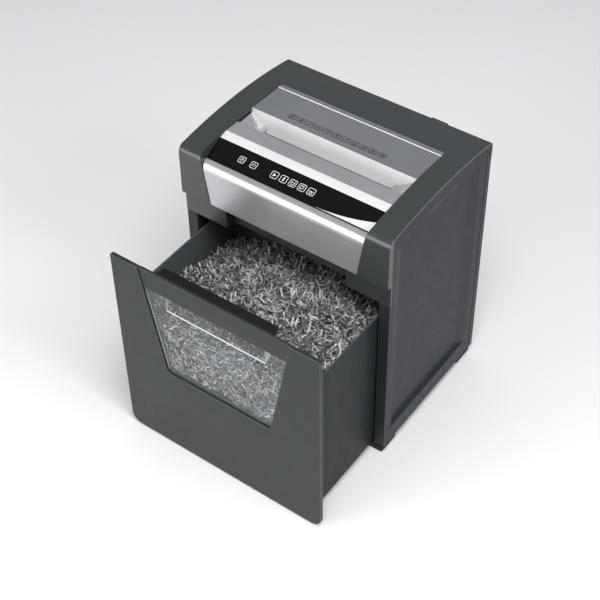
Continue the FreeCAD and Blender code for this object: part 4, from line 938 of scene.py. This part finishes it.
@dataclass
class Legend:
    """Flat ink marks, drawn in a plane and then laid on the object."""

    line: float
    ink: float = 0.05 * MM
    corner: float = 0.22
    work: bmesh.types.BMesh = field(init=False, repr=False)

    def __post_init__(self) -> None:
        """Start an empty drawing."""
        self.work = bmesh.new()

    def slab(self, made: dict, lay: Matrix) -> None:
        """Give flat faces the ink's thickness and lay them on the object.

        Args:
            made: result of a create_ operator.
            lay: where the drawing's plane goes.
        """
        faces = {face for vertex in made["verts"] for face in vertex.link_faces}
        raised = thicken(self.work, list(faces), self.ink)
        bmesh.ops.transform(self.work, matrix=lay, verts=list(made["verts"]) + raised)

    def stroke(self, lay: Matrix, points: Sequence[Sequence[float]], size: float) -> None:
        """Draw a line through points.

        Args:
            lay: where the drawing's plane goes.
            points: the points, in a square 1 wide.
            size: the square's real width.
        """
        for start, end in zip(points[:-1], points[1:]):
            a = Vector((*start, 0.0)) * size
            b = Vector((*end, 0.0)) * size
            made = bmesh.ops.create_grid(self.work, x_segments=1, y_segments=1, size=0.5)
            shape = Matrix.Diagonal(((b - a).length + self.line, self.line, 1.0, 1.0))
            turn = Matrix.Rotation(math.atan2((b - a).y, (b - a).x), 4, "Z")
            self.slab(made, lay @ Matrix.Translation((a + b) / 2) @ turn @ shape)

    def arc(self, lay: Matrix, radius: float, start: float, end: float, size: float) -> None:
        """Draw an arc.

        Args:
            lay: where the drawing's plane goes.
            radius: its radius, in a square 1 wide.
            start: its first angle in degrees.
            end: its last angle in degrees.
            size: the square's real width.
        """
        step = (end - start) / ARC_STEPS
        angles = [math.radians(start + step * i) for i in range(ARC_STEPS + 1)]
        self.stroke(lay, [(radius * math.cos(a), radius * math.sin(a)) for a in angles], size)

    def wedge(self, lay: Matrix, centre: Sequence[float], radius: float, turn: float,
              size: float) -> None:
        """Draw a filled triangle.

        Args:
            lay: where the drawing's plane goes.
            centre: its middle, in a square 1 wide.
            radius: middle to corner, in the same square.
            turn: direction that it points in, in degrees.
            size: the square's real width.
        """
        made = bmesh.ops.create_circle(self.work, cap_ends=True, segments=3, radius=radius * size)
        place = Matrix.Translation(Vector((*centre, 0.0)) * size)
        self.slab(made, lay @ place @ Matrix.Rotation(math.radians(turn - 90.0), 4, "Z"))

    def frame(self, lay: Matrix, wide: float, high: float) -> None:
        """Draw the outline of a box with cut corners.

        Args:
            lay: where the drawing's plane goes.
            wide: its width in metres.
            high: its height in metres.
        """
        x = wide / 2
        y = high / 2
        cut = min(x, y) * self.corner
        ring = [(x - cut, y), (-x + cut, y), (-x, y - cut), (-x, -y + cut), (-x + cut, -y),
                (x - cut, -y), (x, -y + cut), (x, y - cut), (x - cut, y)]
        self.stroke(lay, ring, 1.0)

    def glyph(self, lay: Matrix, glyph: Glyph, size: float) -> None:
        """Draw one of the pictograms.

        Args:
            lay: where the drawing's plane goes.
            glyph: which one.
            size: its width in metres.
        """
        for points in glyph.value:
            self.stroke(lay, points, size)

    def finish(self, name: str, finish: Finish, body: str, slot: str) -> bpy.types.Object:
        """Close the drawing as a piece.

        Args:
            name: name of the piece.
            finish: its ink.
            body: the CAD body that it is printed on.
            slot: its material slot; not used.

        Returns:
            The new piece.
        """
        bmesh.ops.recalc_face_normals(self.work, faces=self.work.faces)
        return place_piece(close_mesh(self.work, name), finish, body)


def repaint(piece: bpy.types.Object, finish: Finish,
            chosen: Callable[[bpy.types.MeshPolygon], bool]) -> None:
    """Give some of a piece's faces a second finish.

    Args:
        piece: the piece.
        finish: the second finish.
        chosen: whether a face gets it.
    """
    piece.data.materials.append(material_of(finish))
    for face in piece.data.polygons:
        if chosen(face):
            face.material_index = len(piece.data.materials) - 1


def lay_on(node: str, x: float, y: float, raise_by: float = 0.0) -> Matrix:
    """The plane that touches a CAD node's upper side, seen from above.

    Args:
        node: the CAD node.
        x: place across the object.
        y: place along the object.
        raise_by: gap to the node's face.

    Returns:
        A matrix whose Z is the face's normal and whose X is the object's.
    """
    point, normal, _, _ = surface_of(node).ray_cast(Vector((x, y, 1.0)), DOWNWARD)
    if point is None:
        raise ValueError(f"{node} has nothing at {x}, {y}")
    across = Vector((1.0, 0.0, 0.0))
    axes = Matrix((across, normal.cross(across), normal)).transposed()
    return Matrix.Translation(point + normal * raise_by) @ axes.to_4x4()


@dataclass
class SilverInsert(SubAssembly):
    """The silver decks round the feed slot, and the silver front."""

    edge: float = 0.6 * MM
    throat_edge: float = 0.4 * MM
    trim_edge: float = 0.2 * MM
    strip_width: float = 1.6 * MM
    slope: float = -0.34
    bevel_slope: float = -0.15
    level: float = 0.1
    marks_behind: float = 146.5 * MM
    first_mark: float = -83.0 * MM
    mark_pitch: float = 16.0 * MM
    mark_size: float = 12.0 * MM
    mark_line: float = 1.05 * MM
    box_share: float = 0.82
    glyph_share: float = 0.8

    def build(self) -> None:
        """Make the insert's pieces."""
        self.soften("front_cowl", SILVER, self.edge)
        front = self.soften("front_deck", SILVER, self.edge)
        # The front deck's forward-tilted bevel gets near-white silver: a painted highlight.
        repaint(front, PALE_SILVER_AND_HIGHLIGHT,
                lambda face: face.normal.z > self.level and face.normal.y < self.bevel_slope)
        deck = self.soften("rear_deck", SHADED_SILVER, self.edge)
        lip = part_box("rear_deck")[1].y - self.strip_width
        # The rear deck's back strip and its front-facing throat wall get near-white silver: a painted
        # highlight.
        repaint(deck, PALE_SILVER_AND_HIGHLIGHT, lambda face: face.center.y > lip or face.normal.y < self.slope)
        self.mark_deck()
        self.soften("feed_throat", SILVER, self.throat_edge)
        self.soften("swoosh_trim", PALE_SILVER_AND_HIGHLIGHT, self.trim_edge)

    def mark_deck(self) -> None:
        """Print a row of small plain pictograms behind the feed slot."""
        legend = Legend(self.mark_line)
        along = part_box("top_shell")[0].y + self.marks_behind
        order = (Glyph.PAGE, Glyph.BARS, Glyph.SLASH, Glyph.WAVE, Glyph.TEE, Glyph.CROSS,
                 Glyph.SLASH, Glyph.TEETH, Glyph.TRAY, Glyph.CROSS, Glyph.BARS)
        for i, glyph in enumerate(order):
            lay = lay_on("rear_deck", self.first_mark + self.mark_pitch * i, along)
            legend.frame(lay, self.mark_size, self.mark_size * self.box_share)
            legend.glyph(lay, glyph, self.mark_size * self.glyph_share)
        legend.finish("deck_marks", DARK_INK, "cabinet", SLOT_OF["control_fascia"])


# ---------------------------------------------------------------- control panel
@dataclass
class ControlPanel(SubAssembly):
    """Gloss fascia with its keys, indicators and board."""

    fascia_edge: float = 0.3 * MM
    key_edge: float = 0.35 * MM
    key_proud: float = 0.52 * MM
    lens_proud: float = 0.06 * MM
    lens_rim: float = 0.5 * MM
    box_size: float = 11.4 * MM
    key_box: float = 10.4 * MM
    line: float = 0.75 * MM
    sign_share: float = 0.85
    glyph_share: float = 0.95

    def build(self) -> None:
        """Make the control panel's pieces."""
        self.soften("control_fascia", GLOSS, self.fascia_edge)
        for key in ("power_key", "reverse_key"):
            self.soften(key, GLOSS, self.key_edge, 3)
        self.dress("indicator_lenses", LENS)
        self.dress("control_board", GREEN)
        self.dress("key_switches", BLACK)
        self.mark_keys()
        self.mark_indicators()

    def plane_at(self, x: float, raise_by: float) -> Matrix:
        """The fascia's plane, centred on x.

        Args:
            x: place across the object.
            raise_by: height over the fascia.

        Returns:
            A matrix for a legend.
        """
        low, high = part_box("control_fascia")
        lens_low, lens_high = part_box("indicator_lenses")
        gap_x = (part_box("reverse_key")[1].x + lens_low.x) / 2
        lay = lay_on("control_fascia", gap_x, (low.y + high.y) / 2, raise_by)
        middle = (lens_low.y + lens_high.y) / 2
        along = lay.col[1].to_3d()
        point = lay.translation + along * ((middle - lay.translation.y) / along.y)
        lay.translation = Vector((x, point.y, point.z))
        return lay

    def mark_keys(self) -> None:
        """Print the power and the reverse sign on their keys."""
        for node, body in (("power_key", "power_button"), ("reverse_key", "reverse_button")):
            low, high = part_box(node)
            lay = self.plane_at((low.x + high.x) / 2, self.key_proud)
            sign = self.key_box * self.sign_share
            legend = Legend(self.line)
            legend.frame(lay, self.key_box, self.key_box)
            if node == "power_key":
                legend.arc(lay, 0.3, 125.0, 415.0, sign)
                legend.glyph(lay, Glyph.STEM, self.key_box * self.glyph_share)
            else:
                legend.arc(lay, 0.26, -60.0, 180.0, sign)
                legend.wedge(lay, (-0.24, -0.08), 0.17, 270.0, sign)
            legend.finish(node + "_legend", WHITE_INK, body, SLOT_OF[node])

    def mark_indicators(self) -> None:
        """Print a box and a plain pictogram on each indicator."""
        low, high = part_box("indicator_lenses")
        order = (None, Glyph.HEAT, Glyph.TRAY, Glyph.DOOR, Glyph.TEETH)
        half = self.box_size / 2 + self.lens_rim
        step = (high.x - low.x - 2 * half) / (len(order) - 1)
        legend = Legend(self.line)
        for i, glyph in enumerate(order):
            lay = self.plane_at(low.x + half + step * i, self.lens_proud)
            legend.frame(lay, self.box_size, self.box_size)
            if glyph:
                legend.glyph(lay, glyph, self.box_size * self.glyph_share)
            else:
                legend.wedge(lay, (-0.05, 0.0), 0.3, 0.0, self.box_size)
        legend.finish("indicator_legends", WHITE_INK, "cabinet", SLOT_OF["indicator_lenses"])


# ---------------------------------------------------------------- bin
@dataclass
class Bin(SubAssembly):
    """Pull-out bin without its shreds."""

    front_edge: float = 0.9 * MM
    bar_edge: float = 0.6 * MM
    small_edge: float = 0.5 * MM
    window_edge: float = 0.3 * MM
    lip_edge: float = 0.4 * MM
    lip_size: float = 1.6 * MM
    rim_facing: float = 0.9
    pane_slack: float = 0.5 * MM
    walk_start: float = 5.0 * MM
    walk_step: float = 0.5 * MM
    walk_limit: int = 600
    over_lip: float = 2.0 * MM

    def build(self) -> None:
        """Make the bin's pieces."""
        self.soften("bin_front", FACE, self.front_edge, 3)
        self.soften("grip_bar", FACE, self.bar_edge)
        self.soften("grip_ledge", BLACK, self.small_edge)
        window = self.soften("bin_window", WINDOW, self.window_edge)
        # Rim faces of the window, facing sideways or up, get the pale denser finish: a painted
        # highlight.
        repaint(window, WINDOW_EDGE_HIGHLIGHT, lambda face: abs(face.normal.x) > self.rim_facing
                or face.normal.z > self.rim_facing)
        self.make_lip()
        low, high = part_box("bin_tub")
        tub = self.soften("bin_tub", TUB, self.small_edge)
        # The tub's inside faces get a lighter copy of its plastic: painted light.
        repaint(tub, TUB_INSIDE_LIT, lambda face: all(low[axis] + MM < face.center[axis] < high[axis] - MM
                                              for axis in (0, 1)))

    def opening(self, tree: BVHTree, start: Vector) -> Vector:
        """Walk up the window until its front pane ends.

        Args:
            tree: the window.
            start: a point in front of the pane.

        Returns:
            The first point with no pane behind it.
        """
        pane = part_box("bin_window")[0].y
        for i in range(self.walk_limit):
            spot = start + Vector((0.0, 0.0, self.walk_step)) * i
            hit = tree.ray_cast(spot, BACKWARD)[0]
            if hit is None or hit.y > pane + self.pane_slack:
                return spot
        return start

    def make_lip(self) -> None:
        """A pale, half-clear bead along the lip of the window's finger scoop: a painted highlight."""
        tree = surface_of("bin_window")
        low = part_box("bin_window")[0]
        lip = self.opening(tree, Vector((0.0, low.y - MM, low.z + self.walk_start)))
        inside = lip + Vector((0.0, 0.0, self.over_lip))
        wide = 0.0
        while (tree.ray_cast(inside + Vector((wide, 0.0, 0.0)), BACKWARD)[0].y
               > low.y + self.pane_slack):
            wide += self.walk_step
        size = Vector((2 * wide, self.lip_size, self.lip_size))
        bead = bmesh.new()
        bmesh.ops.create_cube(bead, size=1.0)
        bmesh.ops.scale(bead, vec=size, verts=bead.verts)
        bmesh.ops.translate(bead, vec=Vector((0.0, low.y + self.lip_size / 2, lip.z)),
                            verts=bead.verts)
        round_edges(bead, self.lip_edge, 2, is_sharp)
        place_piece(close_mesh(bead, "scoop_lip"), LIP_HIGHLIGHT, "bin")


# ---------------------------------------------------------------- head mechanism
@dataclass
class Mechanism(SubAssembly):
    """Cutters, gear train, motor and their frame."""

    def build(self) -> None:
        """Dress every piece of the mechanism."""
        groups = {
            BLACK: ("mechanism_floor", "front_comb", "rear_comb", "gear_cover", "motor_end_cap",
                    "thermal_cutout", "paper_sensors"),
            PLATE: ("left_cutter_plate", "right_cutter_plate", "tie_rods", "gear_pins"),
            CUTTER: ("front_cutter", "rear_cutter", "motor_rotor"),
            GEAR: ("front_sync_gear", "rear_sync_gear", "final_gear"),
            NYLON: ("second_gear", "first_gear"),
            BRASS: ("cutter_bushes", "motor_pinion"),
            MOTOR: ("motor_body",),
            SCREW: ("frame_screws",),
        }
        for finish, nodes in groups.items():
            for node in nodes:
                self.dress(node, finish)


# ---------------------------------------------------------------- rear fittings
@dataclass
class RearFittings(SubAssembly):
    """Rear switch, cord gland and bin interlock."""

    switch_edge: float = 0.5 * MM
    gland_edge: float = 0.6 * MM

    def build(self) -> None:
        """Make the rear fittings."""
        self.soften("switch_bezel", BLACK, self.switch_edge)
        self.soften("power_rocker", GLOSS, self.switch_edge, 3)
        self.soften("cord_gland", RUBBER, self.gland_edge, 3)
        self.dress("interlock_switch", BLACK)
        self.dress("interlock_plunger", NYLON)


# ---------------------------------------------------------------- shreds
Laid = tuple[Vector, Matrix, Vector, Vector, float]


@dataclass
class ShredHeap:
    """Heap of cross-cut paper: a core and thousands of curved strips."""

    seed: int = 41
    shapes: int = 14
    strip_length: float = 18.0 * MM
    strip_width: float = 2.6 * MM
    strip_thick: float = 0.14 * MM
    length_share: Span = (0.6, 1.15)
    curl: Span = (12.0, 70.0)
    twist: float = 0.7

    top_count: int = 9000
    top_room: float = 16.0 * MM
    lying_lift: Span = (-8.0 * MM, 1.0 * MM)
    lying_pitch: float = 0.32
    lying_roll: float = 0.5
    upright_share: float = 0.14
    upright_lift: float = 2.0 * MM
    upright_pitch: Span = (0.5, 1.1)
    fitting_gap: float = 1.5 * MM

    front_count: int = 4200
    front_room: float = 10.0 * MM
    front_depth: float = 3.6 * MM
    front_gap: float = 1.0 * MM
    front_tilt: float = 0.25
    front_sway: float = 0.3
    below_window: float = 6.0 * MM
    below_crest: float = 2.0 * MM

    wall_gap: float = 0.6 * MM
    core_depth: float = 8.0 * MM
    core_cuts: int = 30
    core_shade: float = 0.05
    peak: float = 1.0 * MM
    reach: float = 7.0 * MM
    left_fall: float = 42.0 * MM
    left_start: float = 0.1
    back_fall: float = 40.0 * MM
    back_start: float = 0.3
    fall_power: float = 1.5
    lumps: tuple[tuple[float, float, float], ...] = ((22.0, 3.7, 5.0 * MM), (60.0, 9.1, 2.0 * MM))

    tone_shape: Span = (1.2, 2.4)
    # How buried strips are darkened: painted shade.
    shade_floor: float = 0.15
    shade_rise: float = 0.85
    shade_power: float = 1.4
    scoop_shade: float = 0.35

    draws: random.Random = field(init=False, repr=False)
    low: Vector = field(init=False, repr=False)
    high: Vector = field(init=False, repr=False)
    window_floor: float = field(init=False, repr=False)
    window_half: float = field(init=False, repr=False)
    fittings: BVHTree = field(init=False, repr=False)
    templates: list[bpy.types.Mesh] = field(init=False, repr=False)

    def __post_init__(self) -> None:
        """Seed the random draws, read the bin's room and cut the strips."""
        self.draws = random.Random(self.seed)
        self.low, self.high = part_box("paper_shreds")
        window_low, window_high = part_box("bin_window")
        self.window_floor = window_low.z
        self.window_half = window_high.x
        self.fittings = surface_of("bin_window", "grip_ledge")
        self.templates = [self.make_strip() for _ in range(self.shapes)]

    def build(self) -> None:
        """Make the core, the strips of the top and the strips behind the window."""
        self.make_core()
        self.gather("shreds_left", self.top_count // 2, self.on_top)
        self.gather("shreds_right", self.top_count // 2, self.on_top)
        self.gather("shreds_front", self.front_count, self.behind_window)

    def front_at(self, x: float, z: float, reach: float = 0.0) -> float:
        """Where the clear window, its scoop or the ledge ends and the bin's room begins.

        Args:
            x: place across the bin.
            z: height.
            reach: half the size of what must stay behind them.

        Returns:
            The foremost free y.
        """
        free = self.low.y
        for side, up in ((0, 0), (-reach, 0), (reach, 0), (0, -reach), (0, reach)):
            start = Vector((x + side, self.high.y, z + up))
            point = self.fittings.ray_cast(start, FORWARD)[0]
            free = max(free, point.y) if point else free
        return free

    def surface(self, x: float, y: float) -> float:
        """Height of the heap.

        Args:
            x: place across the bin.
            y: place along the bin.

        Returns:
            The height above the floor.
        """
        across = x / self.high.x
        along = (y - self.low.y) / (self.high.y - self.low.y)
        fall = self.left_fall * max(0.0, self.left_start - across) ** self.fall_power
        fall += self.back_fall * max(0.0, along - self.back_start) ** self.fall_power
        lumps = sum(noise.noise(Vector((x * scale, y * scale, layer))) * height
                    for scale, layer, height in self.lumps)
        return self.high.z + self.peak - fall + lumps

    def make_strip(self) -> bpy.types.Mesh:
        """One curved, slightly twisted strip, kept as a mesh.

        Returns:
            The mesh of the strip, centred on the origin.
        """
        length = self.strip_length * self.draws.uniform(*self.length_share)
        bend = self.draws.uniform(*self.curl) * self.draws.choice((-1, 1))
        twist = self.draws.uniform(-self.twist, self.twist)
        work = bmesh.new()
        bmesh.ops.create_grid(work, x_segments=3, y_segments=1, size=0.5)
        for vertex in work.verts:
            along = vertex.co.x * length
            across = vertex.co.y * self.strip_width
            angle = bend * along
            lift = (1 - math.cos(angle)) / bend
            run = math.sin(angle) / bend
            spin = twist * vertex.co.x
            vertex.co = Vector((run, across * math.cos(spin), lift + across * math.sin(spin)))
        thicken(work, work.faces[:], self.strip_thick)
        bmesh.ops.recalc_face_normals(work, faces=work.faces)
        mesh = bpy.data.meshes.new("strip")
        work.to_mesh(mesh)
        work.free()
        return mesh

    def gather(self, name: str, count: int, pose: Callable[[], Laid]) -> None:
        """Join many strips into one piece.

        Args:
            name: name of the piece.
            count: how many strips.
            pose: gives each strip's centre, its turn, the corners that it stays between, and how
            deep it lies under the other strips, which sets its painted shade.
        """
        work = bmesh.new()
        tones = []
        rest = []
        for mesh in self.templates:
            points = np.empty(len(mesh.vertices) * 3, np.float32)
            mesh.vertices.foreach_get("co", points)
            rest.append(points.reshape(-1, 3))
        for _ in range(count):
            pick = self.draws.randrange(len(self.templates))
            centre, turn, low, high, sunk = pose()
            points = rest[pick] @ np.array(turn.to_3x3().transposed()) + np.array(centre)
            points += (np.maximum(np.array(low) - points.min(0), 0)
                       + np.minimum(np.array(high) - points.max(0), 0))
            mesh = self.templates[pick]
            mesh.vertices.foreach_set("co", points.astype(np.float32).ravel())
            work.from_mesh(mesh)
            # Strips deeper in the heap are darkened: painted shade, on top of each strip's random
            # tone.
            buried = min(1.0, max(0.0, 1.0 - sunk / self.core_depth))
            shade = self.shade_floor + self.shade_rise * buried ** self.shade_power
            tones += [self.draws.betavariate(*self.tone_shape) * shade] * len(points)
        for mesh, points in zip(self.templates, rest):
            mesh.vertices.foreach_set("co", points.ravel())
        made = bpy.data.meshes.new(name)
        work.to_mesh(made)
        work.free()
        made.attributes.new(TONE_AND_SHADE, "FLOAT", "POINT").data.foreach_set("value", tones)
        place_piece(add_object(name, made), SHREDS, "bin")

    def room(self, above: float) -> tuple[Vector, Vector]:
        """The corners that a strip stays between.

        Args:
            above: how far it may stand over the heap.

        Returns:
            The low and the high corner.
        """
        return self.low, Vector((self.high.x, self.high.y, self.high.z + above))

    def on_top(self) -> Laid:
        """Pose of a strip that lies on the heap, now and then standing up.

        Returns:
            Its centre, its turn, the corners of its room and its depth in the heap.
        """
        draws = self.draws
        x = draws.uniform(self.low.x, self.high.x)
        y = draws.uniform(self.low.y, self.high.y)
        level = self.surface(x, y)
        if draws.random() < self.upright_share:
            pitch = draws.uniform(*self.upright_pitch)
            lift = self.upright_lift
        else:
            pitch = draws.gauss(0.0, self.lying_pitch)
            lift = draws.uniform(*self.lying_lift)
        y = max(y, self.front_at(x, level + lift, self.reach) + self.fitting_gap)
        turn = Matrix.Rotation(draws.uniform(0, 2 * math.pi), 4, "Z")
        turn = turn @ Matrix.Rotation(pitch, 4, "Y")
        turn = turn @ Matrix.Rotation(draws.gauss(0.0, self.lying_roll), 4, "X")
        return Vector((x, y, level + lift)), turn, *self.room(self.top_room), -lift

    def behind_window(self) -> Laid:
        """Pose of a strip that is pressed against the inside of the window.

        Returns:
            Its centre, its turn, the corners of its room and its depth in the heap.
        """
        draws = self.draws
        x = draws.uniform(-self.window_half, self.window_half)
        z = draws.uniform(self.window_floor - self.below_window,
                          self.surface(x, self.low.y) - self.below_crest)
        depth = min(abs(draws.gauss(0.0, self.front_depth)), self.core_depth)
        front = self.front_at(x, z, self.reach)
        flat = Matrix.Rotation(math.pi / 2 + draws.gauss(0.0, self.front_tilt), 4, "X")
        sway = Matrix.Rotation(draws.gauss(0.0, self.front_sway), 4, "Z")
        turn = sway @ flat @ Matrix.Rotation(draws.uniform(0, 2 * math.pi), 4, "Z")
        # Strips behind the scoop's slope count as deeper, so they get painted shade.
        sunk = depth + self.scoop_shade * (front - self.low.y)
        centre = Vector((x, front + self.front_gap + depth, z))
        return centre, turn, *self.room(self.front_room), sunk

    def make_core(self) -> None:
        """The body of the heap, under and behind the loose strips, nearly black as painted shade in
        the gaps between them.
        """
        work = bmesh.new()
        bmesh.ops.create_cube(work, size=1.0)
        inset = Vector((self.wall_gap, self.core_depth, 0.0))
        low = self.low + inset
        high = self.high - Vector((self.wall_gap, self.wall_gap, 0.0))
        middle = (low + high) / 2
        bmesh.ops.scale(work, vec=high - low, verts=work.verts)
        bmesh.ops.translate(work, vec=middle, verts=work.verts)
        bmesh.ops.subdivide_edges(work, edges=work.edges, cuts=self.core_cuts, use_grid_fill=True)
        for vertex in work.verts:
            share = (vertex.co.z - low.z) / (high.z - low.z)
            crest = self.surface(vertex.co.x, vertex.co.y) - self.core_depth
            vertex.co.z = low.z + share * (crest - low.z)
            front = self.front_at(vertex.co.x, vertex.co.z, self.core_depth) + self.core_depth
            along = (vertex.co.y - low.y) / (high.y - low.y)
            vertex.co.y = front + along * (high.y - front)
        core = close_mesh(work, "shreds_core")
        tone = core.data.attributes.new(TONE_AND_SHADE, "FLOAT", "POINT")
        tone.data.foreach_set("value", [self.core_shade] * len(core.data.vertices))
        place_piece(core, SHREDS, "bin", ["paper_shreds"])


def main() -> None:
    """Build every part of the scene in order."""
    logging.basicConfig(level=logging.INFO, format="%(message)s")
    Studio().build()
    parts = (Cabinet(), SilverInsert(), ControlPanel(), Bin(), ShredHeap(), Mechanism(),
             RearFittings())
    for part in parts:
        LOG.info("-- %s", type(part).__name__)
        part.build()


if __name__ == "__main__":
    main()
